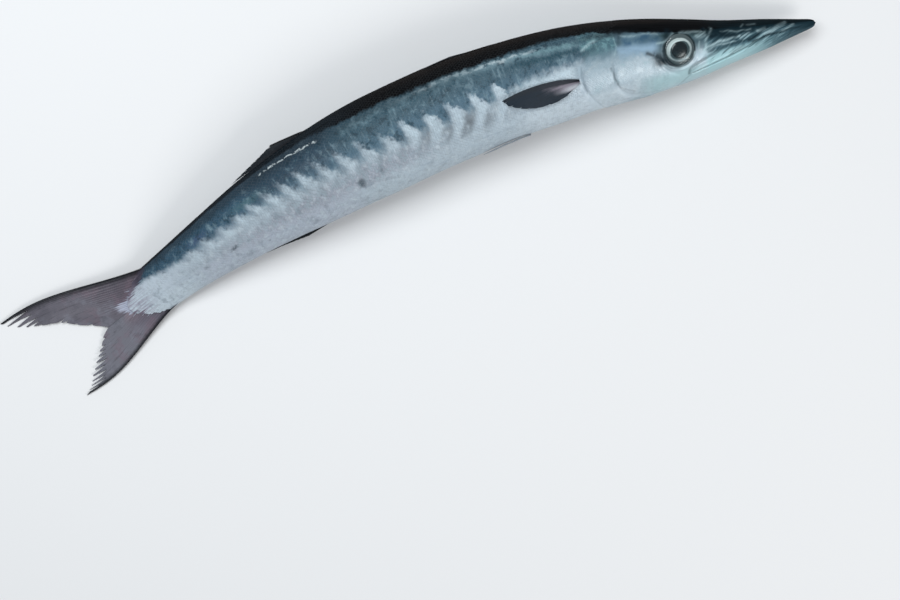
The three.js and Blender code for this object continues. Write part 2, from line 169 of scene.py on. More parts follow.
def lookup(kind, above, u, column):
    """A value between the entries of the tables of one kind, whose rows run along the body."""
    u = np.clip(u, 0, TAIL_REACH - 1)
    column = np.clip(column, 0, PARTS - 0.001)
    i, j = np.floor(u).astype(int), np.floor(column).astype(int)
    s, t = u - i, column - j
    found = []
    for table in (tables[1][kind], tables[-1][kind]):
        low = table[i, j] * (1 - t) + table[i, j + 1] * t
        high = table[i + 1, j] * (1 - t) + table[i + 1, j + 1] * t
        found.append(low * (1 - s) + high * s)
    return np.where(above, *found)


def quarter(u, sign):
    """The way along the skin from the middle of the side to the back, or with sign -1 to the belly."""
    return np.interp(u, ALONG, tables[sign]["length"])


def girth(u):
    return 2 * (quarter(u, 1) + quarter(u, -1))


def angle_at(u, turn):
    """The angle at a share of the way round: 0 is the right side, 0.25 the back, 0.75 the belly."""
    turn = np.mod(turn, 1)
    above = turn < 0.5
    left = (turn > 0.25) & (turn < 0.75)
    share = np.where(above, turn, 1 - turn) * 4
    share = np.where(share > 1, 2 - share, share)
    angle = lookup("angle", above, u, share * PARTS)
    folded = np.where(above, angle, -angle)
    return np.where(left, math.pi - folded, folded)


def side_length(u, angle):
    """The way along the skin from the middle of the side up to that angle, on either side of the fish."""
    folded = np.arcsin(np.clip(np.sin(angle), -1, 1))
    above = folded >= 0
    share = lookup("share", above, u, np.degrees(np.abs(folded)) * (PARTS / 90))
    return share * np.where(above, quarter(u, 1), -quarter(u, -1))


def flat(points):
    """Corners [u, h] of a line on the side of the fish as [u, way along the skin]."""
    u, h = np.array(points, float).T
    high = (h - middle(u)) / halves(u)[0]
    angle = np.arcsin(np.sign(high) * np.clip(np.abs(high), 0, 1) ** (squareness(u, high >= 0) / 2))
    return np.stack([u, side_length(u, angle)], 1)


def rounded(points, closed=False, parts=4):
    """A smooth line through the points."""
    points = np.asarray(points, float)
    count = len(points)
    made = []
    for i in range(count if closed else count - 1):
        p = [points[(i + k) % count] if closed else points[min(max(i + k, 0), count - 1)] for k in (-1, 0, 1, 2)]
        for t in np.arange(parts) / parts:
            made.append(0.5 * (2 * p[1] + (p[2] - p[0]) * t + (2 * p[0] - 5 * p[1] + 4 * p[2] - p[3]) * t ** 2
                               + (3 * p[1] - p[0] - 3 * p[2] + p[3]) * t ** 3))
    made.append(points[0] if closed else points[-1])
    return np.array(made)


def away(line, u, s):
    """The distance to a line on the skin."""
    best = np.full(u.shape, 1e9)
    for (u0, s0), (u1, s1) in zip(line[:-1], line[1:]):
        du, ds = u1 - u0, s1 - s0
        t = np.clip(((u - u0) * du + (s - s0) * ds) / max(1e-9, du * du + ds * ds), 0, 1)
        best = np.minimum(best, (u - u0 - t * du) ** 2 + (s - s0 - t * ds) ** 2)
    return np.sqrt(best)


def depth_inside(outline, u, s):
    """The distance to a closed line on the skin, below zero outside it."""
    inside = np.zeros(u.shape, bool)
    for (u0, s0), (u1, s1) in zip(outline[:-1], outline[1:]):
        crosses = (s0 > s) != (s1 > s)
        at = u0 + (u1 - u0) * (s - s0) / (s1 - s0 if s1 != s0 else 1)
        inside ^= crosses & (u < at)
    return np.where(inside, 1, -1) * away(outline, u, s)


def step(value, low, high):
    t = np.clip((value - low) / (high - low), 0, 1)
    return t * t * (3 - 2 * t)


def within(value, low, full, last, high):
    """Rises from low to full, and falls again from last to high."""
    return step(value, low, full) * (1 - step(value, last, high))


def hump(value, half):
    return np.exp(-(value / half) ** 2)


# The head's lines on the skin

FAR = 60
HEAD_REACH = 215
EYE_U, EYE_ANGLE = np.array([122.0]), np.radians([9.5])
EYE_S = side_length(EYE_U, EYE_ANGLE)
MOUTH = [(5.5, 1.6), (16, 0.7), (33, 0.6), (45, -0.4), (54, -2.3), (64, -5.6), (76, -9), (90, -12), (104, -15),
         (112, -17)]
MAXILLA_TOP = [(115, -17), (114, -13), (108, -9.3), (99, -6), (90, -2.5), (79, -0.4), (66, 0.4), (57, 1.8), (46, 4)]
CHEEK = [(136, -8), (141, 4), (155, 12.5), (173, 15.5), (177, 4), (176.4, -11.5), (171.5, -19), (163.5, -23.5),
         (147, -26.5), (129, -26), (122, -17)]
GILL_COVER = [(178, 23), (186, 25), (196, 22.5), (202, 15), (204.5, 5), (203.5, -6), (200, -15), (193, -25),
              (182, -33.5), (164, -FAR), (145, -FAR), (140, -30.5), (164, -25.5), (173, -20), (178, -11.5)]

mouth_line = rounded(flat([(4.4, 9), (4.4, 4)] + MOUTH))
mouth_at = smooth(flat(MOUTH))
maxilla = flat([(u, h + 0.4) for u, h in MOUTH if u > 20] + MAXILLA_TOP + [(33, 1)])
maxilla_top = rounded(flat(MAXILLA_TOP))
jaw_back = rounded(flat([(112, -17), (120, -23.5), (126, -29)]))
cheek = rounded(flat(CHEEK), closed=True)
gill_cover = rounded(flat(GILL_COVER), closed=True, parts=3)
gill_edge = rounded(flat(GILL_COVER[0:9] + [(176, -FAR)]))
opercle_ray = rounded(flat([(178, 17), (186, 14), (195, 9), (202, 5)]))
cheek_edge = rounded(flat(CHEEK[3:9]))
before_eye = rounded(flat([(93, 13.5), (94.5, 9), (97, 4), (101, -2.4), (106, -7)]))
brow = rounded(flat([(102, 15), (108, 17.5), (120, 19), (133, 18), (143, 14)]))
snout_ridge = rounded(flat([(20, 3.4), (40, 7), (62, 10.5), (84, 14), (100, 17.5)]))
# Ridges and, below zero, furrows: the line, half its width and its height
RIDGES = [(jaw_back, 0.9, -0.45), (cheek_edge, 0.8, -0.25), (before_eye, 1.3, 0.55), (brow, 1.7, 0.45),
          (snout_ridge, 1.3, 0.35)]
FIN_BASES = [(262, 316, 1), (418, 472, 1), (432, 488, -1)]


def on_skin(points):
    """Corners [u, degrees from the back's middle] of a line on the side as [u, way along the skin]."""
    u, a = np.array(points, float).T
    return np.stack([u, side_length(u, np.radians(90 - a))], 1)


NOSTRILS = list(zip(on_skin([(94, 44), (98.5, 43)]), (1.3, 1.7)))


def eye_distance(u, s):
    return np.hypot(u - EYE_U, s - EYE_S)


def relief(u, angle):
    """How far the skin stands over or under its plain form."""
    s = side_length(u, angle)
    total = np.zeros(u.shape)
    near = u < HEAD_REACH
    hu, hs = u[near], s[near]
    over, along = hs - mouth_at(hu), within(hu, 8, 16, 106, 113)
    belly, back = quarter(hu, -1) + hs, quarter(hu, 1) - hs
    lift = -0.95 * hump(away(mouth_line, hu, hs), 0.8) * step(hu, 5, 18)
    lift += 0.4 * hump(over - 1.9, 1.1) * along + 0.5 * hump(over + 2.1, 1.2) * along
    lift += 0.65 * step(depth_inside(maxilla, hu, hs), -0.3, 1.1) * step(hu, 36, 60)
    lift -= 0.35 * hump(away(maxilla_top, hu, hs) - 0.7, 0.7) * step(hu, 50, 70)
    lift -= 0.7 * hump(belly, 1.6) * within(hu, 22, 40, 150, 175)
    lift += 0.3 * hump(belly - 5, 2) * within(hu, 22, 40, 112, 130)
    lift += 0.5 * step(depth_inside(cheek, hu, hs), -0.2, 2.2)
    cover = depth_inside(gill_cover, hu, hs)
    lift += 0.6 * step(cover, -0.5, 0.9)
    lift -= 0.6 * hump(away(gill_edge, hu, hs) - 1.2, 0.9) * (cover < 0.2)
    lift += 0.35 * hump(away(opercle_ray, hu, hs), 1.6) * step(cover, 0.5, 2)
    rays = np.sin(belly * 1.35 + hu * 0.04)
    lift += 0.3 * rays * within(belly, 3, 6, 15, 19) * within(hu, 128, 140, 176, 186)
    for line, half, height in RIDGES:
        lift += height * hump(away(line, hu, hs), half)
    lift += 0.22 * (hump(back - 6.5, 1.6) + 0.7 * hump(back - 12, 1.5)) * within(hu, 84, 104, 150, 176)
    lift -= 0.4 * hump(back, 2.6) * within(hu, 50, 80, 150, 176)
    radius = eye_distance(hu, hs)
    lift = np.where(radius < 18, lift * step(radius, 12.5, 17), lift)
    lift += 0.85 * hump(radius - 12.9, 1.0) - 0.35 * hump(radius - 15.2, 0.9) + 0.3 * hump(radius - 17, 1.2)
    lift -= 5.2 * (1 - step(radius, 9.5, 12.2))
    for (there_u, there_s), size in NOSTRILS:
        gap = np.hypot(hu - there_u, hs - there_s)
        lift += -1.1 * hump(gap, size * 0.8) + 0.4 * hump(gap - size * 1.35, 0.6)
    total[near] = lift
    for start, end, side in FIN_BASES:
        centre = quarter(u, side) - side * s
        total += 0.75 * hump(centre - 1.3, 1.1) * within(u, start - 8, start + 4, end - 6, end + 6)
    swell = np.sin(u * 0.071 + 1.3) * np.sin(angle * 3 + u * 0.013) + 0.6 * np.sin(u * 0.023 + angle * 2)
    return total + 0.22 * swell * step(u, 190, 230)


# Strokes of the head: half the width in mm, the strength, then u and degrees from the back's middle of each corner
DARK_STROKES = [
    (1.6, 0.9, 44, 56, 50, 68, 55, 80, 62, 86), (3.4, 0.95, 73, 68, 79, 66, 86, 61, 93, 62),
    (2, 0.7, 57, 63, 70, 64, 82, 68), (0.9, 0.8, 22, 83, 34, 86, 46, 88, 58, 92),
    (1.1, 0.5, 66, 96, 75, 106, 82, 117), (0.6, 0.55, 84, 90, 94, 99, 101, 103), (1.2, 0.45, 50, 93, 56, 108),
    (1.2, 0.4, 24, 94, 26, 116), (1.5, 0.3, 37, 96, 40, 118), (3, 0.85, 129, 46, 131, 55),
    (1.8, 0.85, 140, 86, 149, 80), (3.6, 0.92, 142, 84, 137, 89, 131, 98, 124, 101),
    (2.6, 0.85, 113, 93, 121, 98, 129, 95, 134, 90), (2.4, 0.55, 169, 50, 171, 60),
    (2.2, 0.35, 189, 58, 197, 64, 203, 74), (3.5, 0.4, 182, 35, 196, 38), (1, 0.5, 180, 89, 178, 100, 176, 112),
    (0.8, 0.25, 176, 112, 170, 122, 162, 131), (0.8, 0.3, 207, 93, 204, 101, 203, 112),
    (0.7, 0.2, 203, 72, 205.5, 90), (1.2, 0.35, 108, 112, 114, 120), (1.6, 0.6, 60, 50, 78, 48, 90, 50),
]
PALE_STROKES = [
    (1, 0.5, 21, 55, 26, 72, 31, 80), (1.4, 0.6, 28, 40, 33, 57, 39, 73, 47, 82), (1.2, 0.4, 36, 62, 44, 77),
    (1.2, 0.75, 46, 60, 53, 66), (1.3, 0.3, 54, 37, 60, 36), (0.7, 0.35, 63, 29, 66, 44),
    (0.9, 0.5, 58, 59, 70, 56, 84, 54), (1, 0.55, 60, 68, 68, 80), (1.1, 0.9, 69, 73, 77, 74, 90, 80, 101, 87),
    (0.8, 0.55, 73, 84, 90, 84, 98, 91), (1.1, 0.6, 92, 42, 95, 59, 98, 72, 101, 92),
    (1.1, 0.55, 98, 51, 104, 49, 112, 48, 119, 51), (1.8, 0.7, 99, 57, 105, 61),
    (0.9, 0.6, 125, 50, 133, 65, 140, 67), (0.9, 0.85, 109, 87, 113, 97, 120, 104, 128, 103, 136, 98),
    (0.9, 0.65, 138, 49, 150, 46, 160, 49, 168, 47), (1, 0.8, 189, 49, 195, 53, 200, 60),
    (0.5, 0.4, 174, 47, 173, 60, 175, 74), (0.8, 0.4, 104, 71, 106, 94),
]
BLUE_STROKES = [(3.4, 1, 140, 57, 148, 54, 156, 60, 165, 58)]


def strokes(lines, u, s):
    made = np.zeros(u.shape)
    for half, amount, *corners in lines:
        line = rounded(on_skin(np.reshape(corners, (-1, 2))))
        made = np.maximum(made, amount * hump(away(line, u, s), half))
    return made


def marks(u, angle):
    """Dark lines, the distance from the eye's middle, pale lines and blue of the head."""
    s = side_length(u, angle)
    found = np.zeros(u.shape + (4,))
    found[..., 1] = eye_distance(u, s)
    near = u < HEAD_REACH
    hu, hs = u[near], s[near]
    bent = hu + 0.4 * np.sin(hs * 0.7 + hu * 0.3)
    over = hs + 0.4 * np.sin(hu * 0.23 + hs * 0.4) + 0.2 * np.sin(hu * 0.61 + 2)
    dark = np.maximum(0.6 * hump(away(mouth_line, hu, hs), 0.7) * step(hu, 8, 20), strokes(DARK_STROKES, bent, over))
    dark = np.maximum(dark, 0.6 * hump(away(maxilla_top, hu, hs) - 0.35, 0.8) * step(hu, 46, 56))
    dark = np.maximum(dark, 0.25 * hump(away(jaw_back, hu, hs), 0.8))
    for (there_u, there_s), size in NOSTRILS:
        dark = np.maximum(dark, hump(np.hypot(hu - there_u, hs - there_s), size))
    found[near, 0] = dark
    found[near, 2] = strokes(PALE_STROKES, bent, over)
    found[near, 3] = strokes(BLUE_STROKES, bent, over)
    return found


# Where scales grow: from this distance behind the snout, by the degrees from the back's middle
SCALES_FROM = smooth([(0, 163), (40, 178), (55, 192), (75, 206.5), (100, 207.5), (130, 203), (150, 196), (180, 190)])
BARE_LIFT = -0.12
COAT_DEPTH = 0.5


def from_back(angle):
    return 90 - np.degrees(np.arcsin(np.clip(np.sin(angle), -1, 1)))


def skin_lift(u, angle):
    scaled = step(u - SCALES_FROM(from_back(angle)), -3, 2)
    return BARE_LIFT - (COAT_DEPTH + BARE_LIFT) * scaled + relief(u, angle)


def stalk_reach(h):
    """How far back the scaly stalk runs out between the tail's rays, at a height on the fish."""
    return STALK_START + 30 * (1 - (h / 21.5) ** 2)


# Meshes

def add_object(name, data):
    made = bpy.data.objects.new(name, data)
    bpy.context.scene.collection.objects.link(made)
    return made


def new_mesh(name, points, quads=(), triangles=(), vectors=None, uvs=None):
    """A mesh object from arrays of points, four- and three-cornered faces, point vectors and corner UVs."""
    points = np.asarray(points, np.float32).reshape(-1, 3)
    quads = np.asarray(quads, np.int64).reshape(-1, 4)
    triangles = np.asarray(triangles, np.int64).reshape(-1, 3)
    corners = np.concatenate([quads.ravel(), triangles.ravel()]).astype(np.int32)
    starts = np.concatenate([np.arange(len(quads)) * 4, len(quads) * 4 + np.arange(len(triangles)) * 3])
    mesh = bpy.data.meshes.new(name)
    mesh.vertices.add(len(points))
    mesh.vertices.foreach_set("co", points.ravel())
    mesh.loops.add(len(corners))
    mesh.loops.foreach_set("vertex_index", corners)
    mesh.polygons.add(len(starts))
    mesh.polygons.foreach_set("loop_start", starts.astype(np.int32))
    mesh.polygons.foreach_set("use_smooth", np.ones(len(starts), bool))
    mesh.update(calc_edges=True)
    for key, values in (vectors or {}).items():
        layer = mesh.attributes.new(key, "FLOAT_VECTOR", "POINT")
        layer.data.foreach_set("vector", np.asarray(values, np.float32).ravel())
    if uvs is not None:
        layer = mesh.uv_layers.new(name="OFBake")
        layer.data.foreach_set("uv", np.asarray(uvs, np.float32).ravel())
    return add_object(name, mesh)


def tube(rings, around):
    """The numbers of the points of rings, those of their neighbours round the ring, and the faces between rings."""
    grid = np.arange(rings * around).reshape(rings, around)
    after = np.roll(grid, -1, axis=1)
    return grid, after, np.stack([grid[:-1], after[:-1], after[1:], grid[1:]], -1).reshape(-1, 4)


def finish_piece(piece, material, slot, *nodes):
    piece.data.materials.append(material)
    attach(piece, "root")
    if nodes:
        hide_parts(*nodes)


# Materials: values that nodes work out

def fill(node, inputs):
    """Sets or links a node's inputs, given by name or in their order."""
    for key, value in inputs.items() if isinstance(inputs, dict) else enumerate(inputs):
        value = getattr(value, "socket", value)
        if isinstance(value, bpy.types.NodeSocket):
            node.id_data.links.new(value, node.inputs[key])
        else:
            node.inputs[key].default_value = value


def add_node(tree, kind, inputs=(), **settings):
    """A new node's outputs."""
    node = tree.nodes.new("ShaderNode" + kind)
    for key, value in settings.items():
        setattr(node, key, value)
    fill(node, inputs)
    return node.outputs


class Field:
    """A value in a material's node tree, with arithmetic."""

    def __init__(self, socket):
        self.socket, self.tree = socket, socket.id_data

    def math(self, kind, *others):
        return Field(add_node(self.tree, "Math", (self, *others), operation=kind)[0])

    def __add__(self, other):
        return self.math("ADD", other)

    __radd__ = __add__

    def __sub__(self, other):
        return self.math("SUBTRACT", other)

    def __rsub__(self, other):
        return self * -1 + other

    def __mul__(self, other):
        return self.math("MULTIPLY", other)

    def abs(self):
        return self.math("ABSOLUTE")

    def most(self, other):
        return self.math("MAXIMUM", other)

    def fract(self):
        return self.math("FRACT")

    def rise(self, low, high, start=0.0, end=1.0):
        """From start to end as the value goes from low to high."""
        inputs = (self, low, high, start, end)
        return Field(add_node(self.tree, "MapRange", inputs, interpolation_type="SMOOTHSTEP")[0])

    def fall(self, low, high):
        return self.rise(low, high, 1.0, 0.0)

    def within(self, low, full, last, high):
        """Rises from low to full, and falls again from last to high."""
        return self.rise(low, full) * self.fall(last, high)

    def peak(self, centre, half):
        """One at the centre, and nothing further off than half."""
        return (self - centre).abs().fall(0, half)

    def curve(self, top, *stations):
        """A smooth curve through the stations, level beyond them, whose values run from 0 to top."""
        first, last = stations[0], stations[-1]
        stations = [(0, first[1])] * (first[0] > 0) + [*stations] + [(TAIL_REACH, last[1])] * (last[0] < TAIL_REACH)
        node = self.tree.nodes.new("ShaderNodeFloatCurve")
        points = node.mapping.curves[0].points
        while len(points) < len(stations):
            points.new(0.5, 0.5)
        for point, (x, y) in zip(points, stations):
            point.location = (x / TAIL_REACH, y / top)
            point.handle_type = "AUTO_CLAMPED"
        node.mapping.update()
        fill(node, {"Value": self * (1 / TAIL_REACH)})
        return Field(node.outputs[0]) * top


def colour_of(code):
    """A colour written as sRGB hex, as nodes hold it."""
    values = [int(code[i:i + 2], 16) / 255 for i in (0, 2, 4)]
    return [v / 12.92 if v <= 0.04045 else ((v + 0.055) / 1.055) ** 2.4 for v in values] + [1]


class Paint:
    """A colour in a node tree, with layers laid over it."""

    def __init__(self, code):
        self.colour = colour_of(code)

    def over(self, *layers):
        """Lays colours or other paints over this one, each followed by its amount."""
        for code, amount in zip(layers[::2], layers[1::2]):
            colour = code.colour if isinstance(code, Paint) else colour_of(code)
            inputs = {0: amount, 6: self.colour, 7: colour}
            self.colour = add_node(amount.tree, "Mix", inputs, data_type="RGBA")[2]


def new_material(name):
    material = bpy.data.materials.new(name)
    material.use_nodes = True
    tree = material.node_tree
    shader = next(node for node in tree.nodes if node.type == "BSDF_PRINCIPLED")
    return material, tree, shader


def attribute(tree, name):
    """The three values of a point vector."""
    vector = add_node(tree, "Attribute", attribute_name=name)["Vector"]
    return [Field(socket) for socket in add_node(tree, "SeparateXYZ", (vector,))]


def noise(tree, *place, scale=1, detail=3, roughness=0.5):
    """Noise by a place of three values, or else by the place on the fish."""
    vector = add_node(tree, "CombineXYZ", place)[0] if place else add_node(tree, "TexCoord")["Object"]
    inputs = {"Scale": scale, "Detail": detail, "Roughness": roughness, "Vector": vector}
    return Field(add_node(tree, "TexNoise", inputs)[0])


def add_bump(shader, height, distance, strength):
    bump = add_node(height.tree, "Bump", {"Distance": distance, "Strength": strength, "Height": height})
    fill(shader, {"Normal": bump[0]})


def fish_paint(tree, shade):
    """The fish's markings, with some painted highlights and painted light, by u and a, the degrees from the back's
    middle. Returns the paint and how silvery it is.
    """
    u, a, _ = attribute(tree, "fish")
    dark, eye, pale = attribute(tree, "mark")
    blue, _, _ = attribute(tree, "tint")
    coarse, fine = noise(tree, scale=70), noise(tree, scale=260)
    blotch = noise(tree, scale=130, detail=4, roughness=0.65)
    flecks = noise(tree, u * 0.2, a * 0.1, 7.0, roughness=0.6)
    upright = noise(tree, u * 0.28, a * 0.045, 0.0)
    flowing = noise(tree, u * 0.05, a * 0.28, 3.0)
    a = a + (coarse - 0.5) * 9 + (fine - 0.5) * 7 + shade
    u = u + (fine - 0.5) * 5

    def spot(at_u, half_u, at_a, half_a):
        return u.peak(at_u, half_u) * a.peak(at_a, half_a)

    # The chevrons along the side: pale wedges between dark lobes, whose points look forwards on the lateral line
    lean = ((88 - a) * 0.36).most((a - 88) * 0.48)
    count = (u - lean).curve(27, (258, 0.5), (268, 1), (383, 7), (435, 10), (497, 14), (548, 17), (720, 27))
    off_lobe = (count.fract() - 0.5).abs()
    wedges = u.within(256, 268, 552, 580)
    peak = off_lobe.rise(0.08, 0.48) * (0.3 + blotch * 0.75 + coarse * 0.65)
    tall = u.curve(40, (0, 18), (260, 16), (300, 17), (380, 17), (420, 16), (480, 12), (560, 7))
    side = u.curve(180, (0, 92), (190, 78), (206, 74), (252, 79), (275, 86), (340, 89), (410, 86), (445, 81),
                   (480, 77), (560, 75), (585, 66), (602, 56), (720, 50))
    soft = u.curve(40, (250, 7), (330, 7.5), (420, 12), (560, 10), (720, 6))
    edge = side - peak * tall * wedges + (upright - 0.5) * 12
    teal = a.fall(edge - soft, edge + soft)
    low = u.rise(330, 365, 88, 80)
    wedge = peak * wedges * a.within(edge - soft, edge + soft, low, low + 22) * (0.3 + blotch * 0.9)
    black_edge = u.curve(180, (0, 100), (90, 50), (110, 51), (135, 48), (158, 43), (170, 42), (196, 31), (240, 33),
                         (300, 37), (350, 35), (380, 34), (425, 22), (480, 18), (560, 20), (592, 22), (720, 20))
    black = a.fall(black_edge - 4, black_edge + 4)

    # Flank and belly
    paint = Paint("93a1ab")
    paint.over(
        "a6b5c0", u.fall(280, 380) * 0.8, "a3b0bb", u.rise(430, 560) * 0.9, "becbd6", u.rise(545, 600) * 0.85,
        "9fb0bc", a.rise(104, 124) * 0.8)
    # Paler towards the belly: partly the pale belly, partly painted light over the shade where the body curves under.
    pale_belly_and_painted_light = u.curve(1, (0, 0.5), (205, 0.55), (240, 0.55), (280, 0.2), (340, 0.25), (440, 0.15), (480, 0.05),
                    (550, 0.15), (580, 0.45), (610, 0.5))
    paint.over(
        "d6e2ea", a.rise(102, 122) * pale_belly_and_painted_light, "abb2c0", u.within(390, 430, 545, 575) * a.rise(100, 116) * 0.6,
        "8f8e9d", u.within(300, 380, 500, 570) * a.peak(104, 24) * flecks.rise(0.4, 0.6) * 0.75,
        "bac8d0", flecks.rise(0.48, 0.66) * 0.6, "7d8894", blotch.fall(0.33, 0.47) * (0.2 + u.rise(300, 380) * 0.3),
        "aab9c4", upright.rise(0.5, 0.72) * 0.45, "8f9fae", flowing.rise(0.54, 0.72) * a.rise(92, 104) * 0.4,
        "b1c2cc", wedge.most(a.peak(87, 8) * wedges * (0.25 + peak * 0.4)) * flecks.rise(0.3, 0.56, 0.25, 1.0),
        "b7c9d3", a.peak(82, 8) * u.within(200, 214, 250, 275) * 0.9)
    strength = u.curve(1, (0, 0), (268, 0.3), (284, 0.6), (324, 1), (342, 0.35), (400, 0.15), (560, 0.1), (720, 0))
    bars = off_lobe.fall(0.1, 0.42) * a.peak(99, 19) * strength * wedges
    paint.over("6c757c", bars * coarse.rise(0.28, 0.55))
    for *place, amount in ((401, 5, 109, 9, 0.9), (520, 6, 106, 5, 0.8), (549, 4, 111, 6, 0.5),
                           (382, 4, 104, 8, 0.35), (437, 4, 117, 6, 0.35), (458, 4, 107, 9, 0.3)):
        paint.over("46535c", spot(*place) * amount)

    # The dark upper side
    band = Paint("3f5763")
    band.over(
        "334553", u.rise(385, 425), "385264", u.rise(470, 500), "5c7586", a.rise(56, 80) * 0.7,
        "27414f", flecks.fall(0.34, 0.5) * 0.5, "55757c", spot(490, 24, 56, 12) * 0.5,
        "4b5a78", spot(541, 16, 58, 12) * 0.5,
        "86a0ab", upright.rise(0.52, 0.74) * a.rise(40, 52) * 0.4 + blotch.rise(0.54, 0.7) * 0.4,
        "1f303a", fine.rise(0.52, 0.74) * 0.3 + blotch.fall(0.34, 0.48) * 0.6,
        "2b4752", a.peak(57, 5) * u.within(196, 210, 235, 270) * 0.7,
        "2f3d44", a.peak(42, 12) * u.within(272, 300, 390, 415) * 0.5,
        "6f8f97", a.peak(46, 9) * u.within(196, 210, 235, 262) * blotch.rise(0.36, 0.56) * 0.8,
        "26323b", a.fall(30, 52) * u.rise(385, 420) * 0.75)
    paint.over(band, teal)
    # A pale line along the lower edge of the black back: partly the fish's colour, partly a painted highlight.
    line = u.curve(1, (215, 0), (240, 0.5), (262, 0.9), (288, 0.5), (325, 0.35), (345, 0.1), (370, 0))
    paint.over(
        "84a0aa", a.peak(43, 11) * line * blotch.rise(0.34, 0.56) * 0.6,
        "b4c4ca", a.peak(41.5, 4.5) * line * flecks.rise(0.4, 0.56) * 0.75)
    paint.over("7b98a4", a.peak(48, 9) * u.within(330, 345, 388, 410) * blotch.rise(0.45, 0.62) * 0.25)
    # Along the very top of the back the black is lifted to brownish grey: partly a brownish tone, partly a painted
    # sheen.
    top = Paint("0e0f11")
    top.over(
        "1b1716", u.rise(110, 140) * a.fall(8, 26) * u.fall(320, 380) * 0.9, "171e24", u.rise(360, 420),
        "101c21", u.fall(70, 105) * 0.9, "060708", flowing.rise(0.48, 0.66) * 0.6)
    paint.over(top, black)
    # Pale broken dashes along the base of the folded second dorsal fin: a painted highlight.
    fold = (a - u.curve(180, (416, 37), (428, 35), (445, 31.5), (472, 28))).abs()
    paint.over("c3ced1", fold.fall(0.4, 2.4) * u.within(416, 420, 468, 473) * fine.rise(0.42, 0.56) * 0.85)

    # The head
    head, nape = u.fall(197, 204), u.rise(171, 175) * a.fall(58, 74)
    face = Paint("a7b8c2")
    face.over(
        "c2d0d7", blotch.rise(0.5, 0.68) * 0.6, "9dbfc4", blotch.fall(0.3, 0.42) * 0.5,
        "94a6b1", blotch.fall(0.32, 0.45) * 0.4,
        "a3c6cb", a.rise(100, 122) * (1 - a.rise(135, 165, 0.0, 0.7)) * u.fall(140, 165) * 0.7,
        "5f7986", a.fall(68, 90), "8aa5ba", a.peak(72, 15) * u.within(134, 144, 170, 176) * 0.9,
        "2c4c66", blue * blotch.rise(0.3, 0.58) * 0.85, "466670", u.rise(171, 175) * a.fall(64, 82) * 0.8,
        "6f949b", nape * flecks.rise(0.42, 0.58) * 0.7, "24404a", nape * blotch.fall(0.34, 0.45) * 0.7,
        "3d5d66", spot(191, 9, 68, 9) * 0.6, "1c3532", u.fall(130, 148) * a.peak(54, 12) * 0.8,
        "26383c", u.peak(101, 13) * a.fall(62, 96) * 0.75, "38494d", eye.fall(14, 22) * a.fall(76, 94) * 0.6)
    snout = u.fall(97, 102)
    slanting = noise(tree, u * 0.05, a * 0.16 - u * 0.26, 9.0, roughness=0.6)
    jaw = Paint("12232a")
    jaw.over(
        "425d68", a.rise(50, 78) * 0.9, "6c8f99", a.rise(84, 104) * u.rise(26, 60),
        "a4c8ce", a.rise(88, 112) * u.rise(34, 76), "a9bcc0", a.rise(125, 165) * u.rise(34, 76) * 0.6,
        "1a2b33", u.fall(3, 34) * a.rise(98, 118, 1.0, 0.5),
        "9dbdc5", slanting.rise(0.5, 0.66) * a.rise(50, 80) * u.rise(18, 40) * 0.6,
        "1b2f37", slanting.fall(0.36, 0.48) * a.fall(100, 124) * 0.7)
    face.over(jaw, snout)
    paint.over(
        face, head * (1 - black * (1 - snout) - snout * a.fall(42, 50)),
        "8499a5", u.within(158, 180, 205, 215) * a.peak(82, 24) * 0.5,
        # The pale d6e2ea on the lower head: partly the pale underside, partly painted light where the head curves
        # under.
        "93a4af", spot(199, 15, 98, 14) * 0.5, "d6e2ea", a.rise(108, 124) * u.rise(150, 175) * head * 0.35,
        "3b5566", spot(147, 17, 56, 17) * 0.5, "1b2829", spot(101, 14, 49, 9) * 0.75,
        "566e77", spot(99, 11, 80, 9) * 0.6, "b5cfda", spot(101, 13, 96, 12) * 0.55,
        "2b373d", spot(178, 32, 42, 11) * 0.75)
    # A dark ring round the eye's socket: partly the dark skin round the eye, partly painted shade in the crease round
    # the sunken eyeball.
    ring = (eye + (fine - 0.5) * 1.6 - 12.4).abs().fall(0.9, 2.7)
    paint.over(
        "1b262a", ring * 0.9, "26343a", spot(137, 12, 91, 13) * eye.rise(12, 15) * 0.95,
        "a8c1c7", pale * (1 - dark * 0.5) * (0.5 + a.rise(40, 80) * 0.5) * slanting.rise(0.34, 0.56, 0.35, 1.0),
        "122027", dark * (1 - pale * 0.6) * fine.rise(0.3, 0.5, 0.55, 0.95))

    # The end of the stalk, where the scales give way to the tail fin in a point
    above = u.curve(180, (584, 0), (592, 24), (602, 50), (612, 60), (618, 67), (623, 74), (720, 90))
    below = u.curve(180, (596, 180), (604, 158), (612, 140), (616, 122), (620, 108), (626, 98), (720, 90))
    rays = (flowing - 0.5) * 60
    bare = (a + rays).fall(above - 5, above + 4).most((a + rays).rise(below - 4, below + 6)) * u.rise(586, 602)
    paint.over(
        "8f8a9b", u.rise(596, 620) * flowing.rise(0.42, 0.6) * 0.75, "3f3a45", bare * 0.9,
        "8f8290", bare * flowing.rise(0.52, 0.62) * a.rise(24, 40) * 0.6, "6c6472", bare * u.rise(602, 618) * 0.85)
    silver = (1 - teal * 0.85) * (1 - black) * (1 - bare) * (1 - snout * 0.6)
    return paint, silver, coarse, fine


